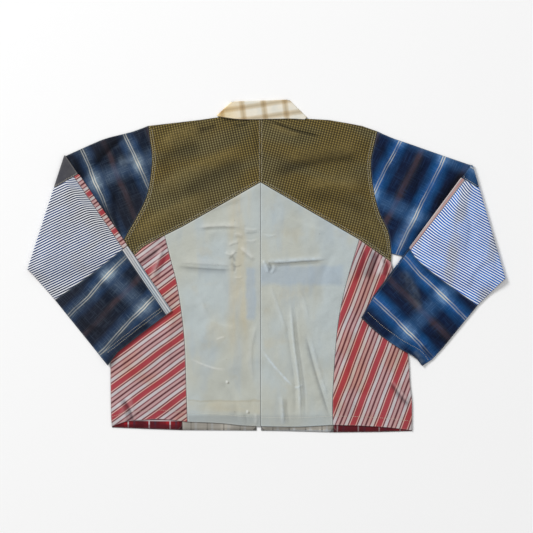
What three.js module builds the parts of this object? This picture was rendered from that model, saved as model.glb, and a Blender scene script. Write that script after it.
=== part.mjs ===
// A patchwork jacket laid out flat and face down: its back is up, its collar is at +Y, and both sleeves
// are folded over at the elbow. Millimetres, +Z up, origin at the middle of its footprint on the surface.
import * as THREE from 'three';
import { mergeVertices } from 'three/addons/utils/BufferGeometryUtils.js';

// ---- Driving dimensions -------------------------------------------------------------------------------
const CLOTH = 1.2;                 // thickness of every cloth
const SEAM_GAP = 0.3;              // space between two pieces at a seam
const ELBOW_Z = 4.0;               // height of the axis that each sleeve folds round at the elbow
const ROLL_STEPS = 6;              // facets round a rolled edge
const SAG_WIDTH = 45;              // length of the slope where a folded sleeve sinks to the surface
const SAG_STEPS = 3;               // facets down that slope
const BACK_LOFT = 2.5;             // height that the centre back stands off the fronts
const CENTRE_X = -13;              // centre seam of the back
const OPENING_X = [-22, -12];      // edges of the open fronts
const COLLAR_Z = 4.1;              // mid-height of the turned-down collar leaf
const NECK_Y = 330;                // neck seam of the back

const FRONT_Z = CLOTH / 2;                       // mid-height of the lower layer
const BACK_Z = FRONT_Z + CLOTH + SEAM_GAP;       // mid-height of the upper layer
const SAG = 2 * ELBOW_Z - BACK_Z - FRONT_Z;      // how far an unsupported folded sleeve sinks

// ---- Plane helpers ------------------------------------------------------------------------------------
const v = (x, y) => new THREE.Vector2(x, y);
const points = (list) => list.map(([x, y]) => v(x, y));
const reversed = (list) => [...list].reverse();

// A smooth curve through a few points, as short straight steps.
function curve(list, steps = 2 * list.length) {
  return new THREE.SplineCurve(points(list)).getPoints(steps);
}

// A line given by a point on it and the unit normal towards its far side.
function lineThrough(a, b, farSide) {
  const along = b.clone().sub(a).normalize();
  const normal = v(along.y, -along.x);
  if (normal.dot(farSide.clone().sub(a)) < 0) normal.negate();
  return { point: a.clone(), along, normal };
}

function pastLine(p, line) {
  return (p.x - line.point.x) * line.normal.x + (p.y - line.point.y) * line.normal.y;
}

function meetingPoint(line, a, b) {
  const da = pastLine(a, line);
  const db = pastLine(b, line);
  return a.clone().lerp(b, da / (da - db));
}

function movedLine(line, distance) {
  const point = line.point.clone().addScaledVector(line.normal, distance);
  return { ...line, point };
}

// The outline with doubled points dropped, and drawn in by half a seam gap all round.
function drawnIn(outline, distance = SEAM_GAP / 2) {
  const loop = outline.filter((p, i) => p.distanceTo(outline[(i + 1) % outline.length]) > 0.05);
  if (THREE.ShapeUtils.isClockWise(loop)) loop.reverse();
  return loop.map((p, i) => {
    const before = p.clone().sub(loop[(i + loop.length - 1) % loop.length]).normalize();
    const after = loop[(i + 1) % loop.length].clone().sub(p).normalize();
    const inward = v(-before.y - after.y, before.x + after.x).normalize();
    const spread = Math.max(0.4, inward.x * -after.y + inward.y * after.x);
    return p.clone().addScaledVector(inward, distance / spread);
  });
}

// The part of a polygon on one side of a line: side is 1 for past the line and -1 for before it.
function clipped(polygon, line, side) {
  const kept = [];
  polygon.forEach((p, i) => {
    const q = polygon[(i + 1) % polygon.length];
    const dp = side * pastLine(p, line);
    const dq = side * pastLine(q, line);
    if (dp >= 0) kept.push(p);
    if (dp * dq < 0) kept.push(meetingPoint(line, p, q));
  });
  return kept;
}

function cutAlong(polygon, lines) {
  let cells = [polygon];
  for (const line of lines) {
    cells = cells.flatMap((cell) => [clipped(cell, line, -1), clipped(cell, line, 1)])
      .filter((cell) => cell.length > 2 && Math.abs(THREE.ShapeUtils.area(cell)) > 1e-6);
  }
  return cells;
}

// ---- Rolls: a sheet that passes a line turns over it and lies back on itself --------------------------
function rollLength(roll, z) {
  return Math.PI * Math.abs(roll.z - z);
}

// z is the height that the whole sheet starts at, so that all of it turns by the same length of cloth.
function rolledOver(p, roll, z) {
  const past = pastLine(p, roll.line);
  if (past <= 0) return p;
  const angle = Math.min(past / Math.abs(roll.z - z), Math.PI);
  const reach = Math.abs(roll.z - p.z) * Math.sin(angle) - Math.max(0, past - rollLength(roll, z));
  return {
    x: p.x + (reach - past) * roll.line.normal.x,
    y: p.y + (reach - past) * roll.line.normal.y,
    z: roll.z + (p.z - roll.z) * Math.cos(angle),
  };
}

// Where a point that lies folded back over a roll is on the flat cloth.
function unrolled(p, roll, z) {
  const inside = -pastLine(p, roll.line);
  return p.clone().addScaledVector(roll.line.normal, 2 * inside + rollLength(roll, z));
}

function rollCuts(roll, z) {
  const step = rollLength(roll, z) / ROLL_STEPS;
  return Array.from({ length: ROLL_STEPS + 1 }, (_, i) => movedLine(roll.line, i * step));
}

// Evenly spaced parallel lines, to give a curved sheet its facets.
function ruling(line, from, to, step) {
  const count = Math.round((to - from) / step);
  return Array.from({ length: count + 1 }, (_, i) => movedLine(line, from + i * step));
}

// ---- A sheet of cloth as one closed solid -------------------------------------------------------------
function clothSolid(name, look, { outline, z, rolls = [], cuts = [], settle = (p) => p }) {
  const flat = [];
  for (const cell of cutAlong(drawnIn(outline), [...cuts, ...rolls.flatMap((roll) => rollCuts(roll, z))])) {
    for (const corners of THREE.ShapeUtils.triangulateShape(cell, [])) {
      const triangle = corners.map((i) => cell[i]);
      if (THREE.ShapeUtils.isClockWise(triangle)) triangle.reverse();
      triangle.forEach((p) => flat.push(p.x, p.y, 0));
    }
  }
  let sheet = new THREE.BufferGeometry();
  sheet.setAttribute('position', new THREE.Float32BufferAttribute(flat, 3));
  sheet = mergeVertices(sheet, 1e-3);
  const place = sheet.getAttribute('position');
  for (let i = 0; i < place.count; i += 1) {
    let p = { x: place.getX(i), y: place.getY(i), z };
    const start = { ...p };
    for (const roll of rolls) p = rolledOver(p, roll, z);
    p = settle(p, start);
    place.setXYZ(i, p.x, p.y, p.z);
  }
  return clothMesh(name, look, thickened(sheet));
}

// Both faces of a sheet half the cloth's thickness off its middle, closed by a rim.
function thickened(sheet) {
  const corners = Array.from(sheet.index.array);
  const triangles = [];
  for (let i = 0; i < corners.length; i += 3) {
    const [a, b, c] = corners.slice(i, i + 3);
    if (a !== b && b !== c && c !== a) triangles.push([a, b, c]);
  }
  sheet.setIndex(triangles.flat());
  sheet.computeVertexNormals();
  const place = sheet.getAttribute('position');
  const normal = sheet.getAttribute('normal');
  const count = place.count;
  const solid = new Float32Array(count * 6);
  for (let i = 0; i < count; i += 1) {
    const p = new THREE.Vector3().fromBufferAttribute(place, i);
    const n = new THREE.Vector3().fromBufferAttribute(normal, i).normalize();
    p.clone().addScaledVector(n, CLOTH / 2).toArray(solid, i * 3);
    p.clone().addScaledVector(n, -CLOTH / 2).toArray(solid, (count + i) * 3);
  }
  const edges = new Set(triangles.flatMap(([a, b, c]) => [`${a},${b}`, `${b},${c}`, `${c},${a}`]));
  const faces = triangles.flatMap(([a, b, c]) => [a, b, c, count + a, count + c, count + b]);
  for (const edge of edges) {
    const [a, b] = edge.split(',').map(Number);
    if (!edges.has(`${b},${a}`)) faces.push(a, count + a, b, b, count + a, count + b);
  }
  const geometry = new THREE.BufferGeometry();
  geometry.setAttribute('position', new THREE.BufferAttribute(solid, 3));
  geometry.setIndex(faces);
  return geometry;
}

function clothMesh(name, look, geometry) {
  geometry.computeVertexNormals();
  const material = new THREE.MeshStandardMaterial({ color: look, roughness: 0.9, metalness: 0 });
  const mesh = new THREE.Mesh(geometry, material);
  mesh.name = name;
  return mesh;
}

// ---- Cloth colours ------------------------------------------------------------------------------------
const OLIVE = 0x6b5d34;
const FADED_BLUE = 0xb2b8b2;
const RED_STRIPE = 0xc99a98;
const RED_PLAID = 0x7a1c22;
const BEIGE_PLAID = 0xa89c88;
const IVORY = 0xe0dccf;
const BLUE_PLAID = 0x22385a;
const BRIGHT_BLUE_PLAID = 0x1f4070;
const CHARCOAL = 0x4d4b4e;
const FINE_STRIPE = 0x8f9fb8;
const BRIGHT_FINE_STRIPE = 0x9ab4e0;
const PALE_STRIPE = 0xb4bcc2;

// ---- Body outlines, seam by seam ----------------------------------------------------------------------
const armholeLeft = curve([[-260, 308], [-252, 245], [-253, 211], [-260, 166], [-273, 131], [-309, 66],
  [-328, 34]]);
const armholeRight = curve([[244, 296], [236, 262], [230, 229], [232, 190], [239, 150], [250, 113],
  [268, 74], [275, 27]]);
const armpitLeft = armholeLeft.at(-1);
const armpitRight = armholeRight.at(-1);
const yokePeak = v(CENTRE_X, 184);
const yokeFootLeft = curve([[-330, 9], [-292, 23], [-268, 43], [-224, 67]]);
const yokeBendLeft = v(-184, 87);
const yokeFootRight = points([[204, 58], [274, 9]]);
const sideSeamLeft = curve([[-224, 67], [-210, 12], [-195, -49], [-181, -158], [-176, -286], [-174, -343]]);
const sideSeamRight = curve([[204, 58], [172, -53], [155, -148], [146, -281], [146, -350]]);
const sideEdgeLeft = curve([[-330, 9], [-340, -110], [-343, -213], [-342, -321], [-340, -353]]);
const sideEdgeRight = curve([[274, 9], [296, -100], [311, -191], [316, -262], [320, -299], [320, -362]]);
const sideHemLeft = curve([[-340, -353], [-307, -342], [-271, -339], [-233, -337], [-174, -343]]);
const backHemLeft = curve([[-174, -343], [-104, -346], [-56, -351], [CENTRE_X, -353]]);
const backHemRight = curve([[CENTRE_X, -353], [70, -354], [146, -350]]);
const sideHemRight = curve([[146, -350], [213, -352], [273, -356], [320, -362]]);
// Hems of the fronts, from the side edge to the seam and from there to the opening.
const frontSideHem = {
  left: points([[-340, -355], [-271, -358], [-185, -361]]),
  right: points([[320, -363], [249, -365], [147, -366]]),
};
const frontCentreHem = {
  left: points([[-185, -361], [OPENING_X[0], -362]]),
  right: points([[147, -366], [46, -363], [OPENING_X[1], -362]]),
};

const yokeEdge = {
  left: points([[CENTRE_X, NECK_Y + 1], [-104, NECK_Y - 2], [-107, 327], [-149, 321]]),
  right: points([[CENTRE_X, NECK_Y + 1], [85, NECK_Y - 4], [87, 324], [138, 321], [210, 308]]),
};
// The neckline of the fronts dips below the back's, and the collar's ends lie in it.
const frontEdge = {
  left: curve([[OPENING_X[0], 232], [-60, 262], [-92, 300], [-107, 327]]),
  right: curve([[OPENING_X[1], 232], [34, 262], [70, 298], [87, 324]]),
};
const frontSeamTop = { left: v(-200, 315), right: v(174, 315) };

// The centre back stands up softly, and lies flat along its seams and under the collar.
function backLoft(p) {
  const across = THREE.MathUtils.smoothstep(190 - Math.abs(p.x - CENTRE_X), 20, 120);
  const down = THREE.MathUtils.smoothstep(150 - p.y, 40, 190) * THREE.MathUtils.smoothstep(p.y, -352, -250);
  return { ...p, z: p.z + BACK_LOFT * across * down };
}

function centreBack(name, outline) {
  const rows = lineThrough(v(0, 0), v(1, 0), v(0, 1));
  const columns = lineThrough(v(CENTRE_X, 0), v(CENTRE_X, 1), v(100, 0));
  const cuts = [...ruling(rows, -330, 150, 40), ...ruling(columns, -175, 175, 25)];
  return clothSolid(name, FADED_BLUE, { outline, z: BACK_Z, cuts, settle: backLoft });
}

function flatPanel(name, look, outline, z) {
  return clothSolid(name, look, { outline, z });
}

function body() {
  return [
    flatPanel('yoke_left', OLIVE,
      [...yokeEdge.left, ...armholeLeft, ...yokeFootLeft, yokeBendLeft, yokePeak], BACK_Z),
    flatPanel('yoke_right', OLIVE,
      [...yokeEdge.right, ...armholeRight, ...reversed(yokeFootRight), yokePeak], BACK_Z),
    centreBack('back_left', [yokePeak, yokeBendLeft, ...sideSeamLeft, ...backHemLeft]),
    centreBack('back_right', [yokePeak, ...sideSeamRight, ...reversed(backHemRight)]),
    flatPanel('back_side_left', RED_STRIPE,
      [...yokeFootLeft, ...sideSeamLeft, ...reversed(sideHemLeft), ...reversed(sideEdgeLeft)], BACK_Z),
    flatPanel('back_side_right', RED_STRIPE,
      [...sideSeamRight, ...sideHemRight, ...reversed(sideEdgeRight)], BACK_Z),
    ...frontPanels('left', armholeLeft, sideEdgeLeft, yokeEdge.left.slice(2)),
    ...frontPanels('right', armholeRight, sideEdgeRight, yokeEdge.right.slice(2)),
  ];
}

// A front is a centre piece along the opening and a side piece from the shoulder to the side seam.
function frontPanels(side, armhole, sideEdge, shoulder) {
  const top = frontSeamTop[side];
  const inner = shoulder.filter((p) => Math.abs(p.x) < Math.abs(top.x));
  const outer = shoulder.filter((p) => Math.abs(p.x) > Math.abs(top.x));
  return [
    flatPanel(`front_${side}`, BEIGE_PLAID,
      [...frontEdge[side], ...inner, top, ...frontCentreHem[side]], FRONT_Z),
    flatPanel(`front_side_${side}`, RED_PLAID,
      [top, ...outer, ...armhole, ...sideEdge, ...frontSideHem[side]], FRONT_Z),
  ];
}

// ---- Collar: a leaf turned down over its stand, its ends lying in the front neckline -------------------
function collar() {
  const leafFoot = points([[84, 322], [47, 323.5], [-50, 322], [-90, 326]]);
  const leafEnd = { left: points([[-108, 329], [-75, 360.3]]), right: points([[48, 364.3], [88, 325]]) };
  const leafMiddle = v(-10, 345);
  const endRoll = ([a, b]) => {
    const outward = a.clone().add(b).sub(leafMiddle);
    return { line: lineThrough(a, b, outward), z: (COLLAR_Z + FRONT_Z) / 2 };
  };
  const left = endRoll(leafEnd.left);
  const right = endRoll(leafEnd.right);
  const top = { line: lineThrough(leafEnd.left[1], leafEnd.right[0], v(0, 500)), z: (COLLAR_Z + BACK_Z) / 2 };
  const wing = (list, roll) => points(list).map((p) => unrolled(p, roll, COLLAR_Z));
  const turnUnder = [v(-64, 360.3), v(38, 364.3)].map((p) => (
    p.addScaledVector(top.line.normal, rollLength(top, COLLAR_Z) + 2)));
  const outline = [
    ...leafFoot,
    leafEnd.left[0],
    ...wing([[-98, 322], [-78, 300], [-48, 272], [-34, 302], [-70, 345]], left),
    leafEnd.left[1],
    ...turnUnder,
    leafEnd.right[0],
    ...wing([[44, 348], [2, 302], [14, 272], [54, 299], [77, 320]], right),
    leafEnd.right[1],
  ];
  const stand = points([[-98, 329.5], [-66, 355], [38, 358.5], [78, 327.5], [CENTRE_X, NECK_Y + 1.5]]);
  return [
    clothSolid('collar_fall', IVORY, { outline, z: COLLAR_Z, rolls: [left, right, top] }),
    flatPanel('collar_stand', IVORY, stand, BACK_Z),
  ];
}

// ---- Sleeves ------------------------------------------------------------------------------------------
// Edges of the upper sleeve run from the body to the elbow, as it lies. Those of the lower sleeve run
// from the elbow to the cuff, as it lies folded over. wrap is how far the back turns over the overarm edge.
const SLEEVES = {
  left: {
    elbow: points([[-446, 240], [-527, -10]]),
    armhole: armholeLeft,
    armpit: armpitLeft,
    bodyEdge: [v(-330, 9), v(-343, -213)],
    overarm: points([[-296, 295], [-351, 281], [-384, 268]]),
    lowerOverarm: points([[-209, -99]]),
    lowerUnderarm: points([[-349, -219]]),
    hem: points([[-221, -108], [-275, -149], [-327, -190]]),
    upperSeam: points([[-414, 202], [-467, 171]]),
    cuffSeam: points([[-305, 45], [-385, -18], [-465, -75]]),
    wrap: { mid: [11, 11], cuff: [14, 14] },
    looks: { upperBack: BLUE_PLAID, upperFront: CHARCOAL, midBack: RED_STRIPE, midFront: FINE_STRIPE,
      cuffBack: PALE_STRIPE, cuffFront: BLUE_PLAID },
  },
  right: {
    elbow: points([[454, 220], [527, -31]]),
    armhole: armholeRight,
    armpit: armpitRight,
    bodyEdge: [v(274, 9), v(311, -191)],
    overarm: points([[278, 281], [316, 268], [390, 242]]),
    lowerOverarm: points([[235, -68]]),
    lowerUnderarm: points([[387, -181], [364, -206]]),
    hem: points([[208, -114], [242, -146], [288, -179], [326, -201], [342, -220]]),
    upperSeam: points([[427, 195], [470, 169]]),
    cuffSeam: points([[316, 36], [332, 13], [374, -22], [415, -52], [464, -87]]),
    wrap: { mid: [9, 4], cuff: [1.5, 1.5] },
    looks: { upperBack: BRIGHT_BLUE_PLAID, upperFront: BRIGHT_BLUE_PLAID, midBack: PALE_STRIPE,
      midFront: BRIGHT_FINE_STRIPE, cuffBack: BRIGHT_BLUE_PLAID, cuffFront: BRIGHT_BLUE_PLAID },
  },
};

// The slope of a folded sleeve past the edge of what it lies on: 0 at the edge, 1 down on the surface.
function sagAt(distance) {
  const level = (step) => THREE.MathUtils.smoothstep(step / SAG_STEPS, 0, 1);
  const step = THREE.MathUtils.clamp(distance / SAG_WIDTH, 0, 1) * SAG_STEPS;
  const low = Math.floor(step);
  return THREE.MathUtils.lerp(level(low), level(low + 1), step - low);
}

function sleeve(side) {
  const s = SLEEVES[side];
  const [elbowTop, elbowFoot] = s.elbow;
  const outside = v(2 * elbowTop.x, elbowTop.y);
  const elbow = { line: movedLine(lineThrough(elbowTop, elbowFoot, outside), -ELBOW_Z), z: ELBOW_Z };
  const underarm = lineThrough(s.armpit, elbowFoot, v(s.armpit.x, -500));
  const bodyEdge = lineThrough(s.bodyEdge[0], s.bodyEdge[1], outside);
  const between = underarm.normal.clone().sub(bodyEdge.normal);
  const corner = meetingPoint(underarm, s.bodyEdge[0], s.bodyEdge[0].clone().lerp(s.bodyEdge[1], -0.5));

  const settle = (p, start) => {
    const past = pastLine(start, elbow.line);
    if (past <= 0) return p;
    const unsupported = Math.min(pastLine(p, underarm), pastLine(p, bodyEdge));
    const folded = THREE.MathUtils.smoothstep(past, 0, rollLength(elbow, FRONT_Z));
    return { ...p, z: p.z - SAG * folded * sagAt(unsupported) };
  };

  const pieces = [];
  for (const layer of ['front', 'back']) {
    const z = layer === 'front' ? FRONT_Z : BACK_Z;
    const flat = (p) => unrolled(p, elbow, z);
    const flatLine = (line, distance) => {
      const onLine = movedLine(line, distance).point;
      return lineThrough(flat(onLine), flat(onLine.clone().add(line.along)), v(0, 0));
    };
    const turnAt = (a, b) => {
      const at = meetingPoint(elbow.line, a, b);
      return [at, at.clone().addScaledVector(elbow.line.normal, rollLength(elbow, z))];
    };
    const sagCuts = [flatLine({ point: corner, along: v(-between.y, between.x), normal: between }, 0)];
    for (let step = 0; step <= SAG_STEPS; step += 1) {
      sagCuts.push(flatLine(underarm, step * SAG_WIDTH / SAG_STEPS));
      sagCuts.push(flatLine(bodyEdge, step * SAG_WIDTH / SAG_STEPS));
    }

    const overTurn = turnAt(s.overarm.at(-1), elbowTop);
    const underTurn = turnAt(s.armpit, elbowFoot);
    const lowerOver = s.lowerOverarm.map(flat);
    const lowerUnder = s.lowerUnderarm.map(flat);
    const hem = s.hem.map(flat);
    const overarm = lineThrough(overTurn[1], lowerOver.at(-1), flat(v(0, 0)));
    const onOverarm = (a, b) => meetingPoint(overarm, b, a.clone().lerp(b, -0.2));

    const seamTurn = turnAt(...s.upperSeam);
    const seamTop = onOverarm(flat(s.upperSeam[0]), seamTurn[1]);
    const seamOnward = seamTurn[1].clone().sub(seamTop).multiplyScalar(20).add(seamTurn[0]);
    const seamFoot = meetingPoint(underarm, seamTurn[0], seamOnward);
    const cuffSeam = s.cuffSeam.map(flat);
    cuffSeam[0] = onOverarm(cuffSeam[0], cuffSeam[1]);

    // Where a seam ends: short of the overarm edge on the front, and past it, round the fold, on the back.
    const overRoll = { line: overarm, z: (FRONT_Z + BACK_Z) / 2 };
    const seamEnd = (a, b, width) => {
      const inner = meetingPoint(movedLine(overarm, -width), a, b);
      return layer === 'front' ? [inner] : [a, unrolled(inner, overRoll, z)];
    };
    const look = (piece) => s.looks[`${piece}${layer === 'front' ? 'Front' : 'Back'}`];
    const lowerRolls = layer === 'back' ? [overRoll, elbow] : [elbow];
    const hemEnd = seamEnd(lowerOver.at(-1), hem[0], s.wrap.cuff[1]);
    const upper = [...s.overarm, ...overTurn, seamTop, seamTurn[1], seamTurn[0], seamFoot,
      ...reversed(s.armhole)];
    const mid = [...seamEnd(seamTop, seamTurn[1], s.wrap.mid[0]),
      ...reversed(seamEnd(cuffSeam[0], cuffSeam[1], s.wrap.mid[1])), ...cuffSeam.slice(1),
      underTurn[1], underTurn[0], seamFoot, seamTurn[0], seamTurn[1]];
    const cuff = [...seamEnd(cuffSeam[0], cuffSeam[1], s.wrap.cuff[0]), ...lowerOver.slice(0, -1),
      ...reversed(hemEnd), ...hem, ...reversed(lowerUnder), ...reversed(cuffSeam.slice(1))];
    pieces.push(
      clothSolid(`${side}_upper_${layer}`, look('upper'), { outline: upper, z, settle, rolls: [elbow] }),
      clothSolid(`${side}_mid_${layer}`, look('mid'),
        { outline: mid, z, settle, cuts: sagCuts, rolls: lowerRolls }),
      clothSolid(`${side}_cuff_${layer}`, look('cuff'),
        { outline: cuff, z, settle, cuts: sagCuts, rolls: lowerRolls }),
    );
  }
  return pieces;
}

// ---- The whole jacket ---------------------------------------------------------------------------------
const group = new THREE.Group();
group.add(...body(), ...collar(), ...sleeve('left'), ...sleeve('right'));

export default group;
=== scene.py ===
"""A patchwork jacket laid out flat and face down, built cloth by cloth around its frame."""
import math

import bpy
import numpy as np
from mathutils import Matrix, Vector
from mathutils.geometry import delaunay_2d_cdt


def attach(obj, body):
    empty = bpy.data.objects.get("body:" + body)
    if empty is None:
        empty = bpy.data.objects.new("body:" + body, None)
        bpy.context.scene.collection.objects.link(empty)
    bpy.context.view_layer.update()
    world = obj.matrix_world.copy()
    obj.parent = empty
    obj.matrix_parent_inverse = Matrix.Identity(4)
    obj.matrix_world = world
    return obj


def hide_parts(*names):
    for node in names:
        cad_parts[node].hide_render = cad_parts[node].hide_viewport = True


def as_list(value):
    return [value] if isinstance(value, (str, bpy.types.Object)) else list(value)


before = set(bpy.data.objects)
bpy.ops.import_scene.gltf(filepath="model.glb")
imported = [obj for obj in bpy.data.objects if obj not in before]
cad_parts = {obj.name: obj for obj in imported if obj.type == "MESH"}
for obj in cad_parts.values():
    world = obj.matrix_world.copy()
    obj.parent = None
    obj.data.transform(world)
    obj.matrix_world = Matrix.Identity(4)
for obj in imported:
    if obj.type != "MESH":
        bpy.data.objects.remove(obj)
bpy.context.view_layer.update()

bl_info = {
    "name": "Patchwork Jacket",
    "version": (1, 0, 0),
    "blender": (4, 5, 0),
    "location": "3D View > Sidebar > Jacket",
    "description": "Builds a patchwork jacket that lies flat, with its creases, stitching and woven cloths",
    "category": "Object",
}

MM = 0.001                     # lengths below are in millimetres, as a tailor writes them

# ---- The lie of the jacket, as its solids have it -----------------------------------------------------
CLOTH = 1.2                    # thickness of every cloth
SEAM_GAP = 0.3                 # space between two cloths at a seam
ELBOW_Z = 4.0                  # height of the axis that each sleeve folds round
SAG_WIDTH = 45.0               # length of the slope where a folded sleeve sinks to the surface
CENTRE_X = -13.0               # centre seam of the back
OPENING_X = (-22.0, -12.0)     # edges of the open fronts
COLLAR_Z = 4.1                 # mid-height of the turned-down collar leaf
NECK_Y = 330.0                 # neck seam of the back
FRONT_Z = CLOTH / 2
BACK_Z = FRONT_Z + CLOTH + SEAM_GAP
SAG = 2 * ELBOW_Z - BACK_Z - FRONT_Z

# ---- How closely the cloths are meshed and sewn -------------------------------------------------------
CLOSE = 5.0                    # cloths with points closer than this also get an edge ring and crease points
EDGE_RING = 1.6                # distance of the first ring of points inside an edge
ROLL_ROWS = 9                  # rows of points across a roll
CREASE_STEP = 2.5              # spacing of points along a crease
CREASE_SIDES = (-3.2, -1.6, 0.0, 1.6, 3.2)      # rows of points beside a crease
EDGE_TUCK = 0.35               # how far a seam edge dips where a cloth is turned in
EDGE_KNOWN = 30.0              # a finish knows its distance from the edge up to this
UV_SCALE = 0.01                # one unit of the cloth's own map is 100 mm
FIRST_ROW = 2.2                # seam edge to the first row of stitches
SECOND_ROW = 6.5               # seam edge to the second row, on the yoke's foot
ARMHOLE_ROW = 7.0              # seam edge to the second row, round the armholes
HEM_ROW = 20.0                 # hem edge to its row of stitches
CUFF_ROWS = {"left": (19.0, 13.0), "right": (19.0,)}

# ---- Finishes that more than one piece shares ---------------------------------------------------------
FINISH = "woven_"              # every finish's name starts with this
PLAID_SLOT = {"left": "blue_plaid", "right": "bright_blue_plaid"}
MARKS = ((-84, -258), (-39, -322))      # two small scuffs on the left of the back
HEM_DUST = {"faded_blue_left": 0.7, "faded_blue_right": 0.35}   # how much the turned-up hem has greyed

# ---- Stage, in metres and watts -----------------------------------------------------------------------
FLOOR_SIZE = 8
FLOOR_DROP = 0.0002            # keeps the floor just under the cloth
LAMPS = {"key": ((-6.0, 5.6, 5.0), 800, 3.0), "fill": ((2.6, -1.4, 4.0), 32, 3.0)}      # place, power, size
DAYLIGHT = 0.42
LENS = 200                     # in millimetres, on a 36 mm wide sensor
CAMERA_PLACE = (0, -0.0011, 6.5144)


def pts(*pairs):
    return np.array(pairs, dtype=float)


def curve(*pairs, step=6.0):
    """A smooth curve through a few points, sampled every few millimetres."""
    knots = pts(*pairs)
    ends = np.vstack([2 * knots[0] - knots[1], knots, 2 * knots[-1] - knots[-2]])
    out = []
    for p0, p1, p2, p3 in zip(ends, ends[1:], ends[2:], ends[3:]):
        count = max(2, int(np.linalg.norm(p2 - p1) / step))
        t = np.linspace(0, 1, count, endpoint=False)[:, None]
        out.append(0.5 * (2 * p1 + (p2 - p0) * t + (2 * p0 - 5 * p1 + 4 * p2 - p3) * t ** 2
                          + (3 * p1 - p0 - 3 * p2 + p3) * t ** 3))
    return np.vstack([*out, knots[-1:]])


# ---- Seams and edges of the body ----------------------------------------------------------------------
ARMHOLE = {
    "left": curve((-260, 308), (-252, 245), (-253, 211), (-260, 166), (-273, 131), (-309, 66), (-328, 34)),
    "right": curve((244, 296), (236, 262), (230, 229), (232, 190), (239, 150), (250, 113), (268, 74),
                   (275, 27)),
}
SHOULDER = {
    "left": pts((-104, NECK_Y - 2), (-107, 327), (-149, 321)),
    "right": pts((85, NECK_Y - 4), (87, 324), (138, 321), (210, 308)),
}
YOKE_TOP = pts((CENTRE_X, NECK_Y + 1))
YOKE_PEAK = pts((CENTRE_X, 184))
YOKE_FOOT = {
    "left": curve((-330, 9), (-292, 23), (-268, 43), (-224, 67)),
    "right": pts((274, 9), (204, 58)),
}
YOKE_BEND = pts((-184, 87))
SIDE_SEAM = {
    "left": curve((-224, 67), (-210, 12), (-195, -49), (-181, -158), (-176, -286), (-174, -343)),
    "right": curve((204, 58), (172, -53), (155, -148), (146, -281), (146, -350)),
}
SIDE_EDGE = {
    "left": curve((-330, 9), (-340, -110), (-343, -213), (-342, -321), (-340, -353)),
    "right": curve((274, 9), (296, -100), (311, -191), (316, -262), (320, -299), (320, -362)),
}
SIDE_HEM = {
    "left": curve((-174, -343), (-233, -337), (-271, -339), (-307, -342), (-340, -353)),
    "right": curve((146, -350), (213, -352), (273, -356), (320, -362)),
}
BACK_HEM = {
    "left": curve((-174, -343), (-104, -346), (-56, -351), (CENTRE_X, -353)),
    "right": curve((146, -350), (70, -354), (CENTRE_X, -353)),
}
FRONT_SIDE_HEM = {
    "left": pts((-340, -355), (-271, -358), (-185, -361)),
    "right": pts((320, -363), (249, -365), (147, -366)),
}
FRONT_HEM = {
    "left": pts((-185, -361), (OPENING_X[0], -362)),
    "right": pts((147, -366), (46, -363), (OPENING_X[1], -362)),
}
NECKLINE = {
    "left": curve((OPENING_X[0], 232), (-60, 262), (-92, 300), (-107, 327)),
    "right": curve((OPENING_X[1], 232), (34, 262), (70, 298), (87, 324)),
}
FRONT_SEAM_TOP = {"left": pts((-200, 315)), "right": pts((174, 315))}

# ---- Seams and edges of the sleeves: the upper sleeve as it lies, the lower one as it lies folded over --
SLEEVE = {
    "left": {
        "elbow": pts((-446, 240), (-527, -10)),
        "body_edge": pts((-330, 9), (-343, -213)),
        "overarm": curve((-260, 308), (-296, 295), (-351, 281), (-384, 268))[1:],
        "lower_overarm": pts((-209, -99)),
        "lower_underarm": pts((-349, -219)),
        "hem": pts((-221, -108), (-275, -149), (-327, -190)),
        "upper_seam": pts((-414, 202), (-467, 171)),
        "cuff_seam": curve((-305, 45), (-385, -18), (-465, -75)),
        "wrap": {"mid": (11, 11), "cuff": (14, 14)},
    },
    "right": {
        "elbow": pts((454, 220), (527, -31)),
        "body_edge": pts((274, 9), (311, -191)),
        "overarm": curve((244, 296), (278, 281), (316, 268), (390, 242))[1:],
        "lower_overarm": pts((235, -68)),
        "lower_underarm": pts((387, -181), (364, -206)),
        "hem": curve((208, -114), (242, -146), (288, -179), (326, -201), (342, -220)),
        "upper_seam": pts((427, 195), (470, 169)),
        "cuff_seam": curve((316, 36), (332, 13), (374, -22), (415, -52), (464, -87)),
        "wrap": {"mid": (9, 4), "cuff": (1.5, 1.5)},
    },
}


# ---- Lines, rolls and folds ---------------------------------------------------------------------------
class Line:
    """A line in the plane, with the unit normal towards its far side."""

    def __init__(self, a, b, far_side):
        self.point = np.array(a, dtype=float)
        self.along = (np.array(b, dtype=float) - self.point)
        self.along /= np.linalg.norm(self.along)
        self.normal = np.array([self.along[1], -self.along[0]])
        if self.normal @ (np.array(far_side, dtype=float) - self.point) < 0:
            self.normal = -self.normal

    def past(self, p):
        return (np.asarray(p, dtype=float)[..., :2] - self.point) @ self.normal

    def moved(self, distance):
        return Line(self.point + distance * self.normal, self.point + distance * self.normal + self.along,
                    self.point + (distance + 1) * self.normal)

    def meets(self, a, b):
        a, b = np.asarray(a, dtype=float), np.asarray(b, dtype=float)
        da, db = self.past(a), self.past(b)
        return a + (b - a) * da / (da - db)


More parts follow.
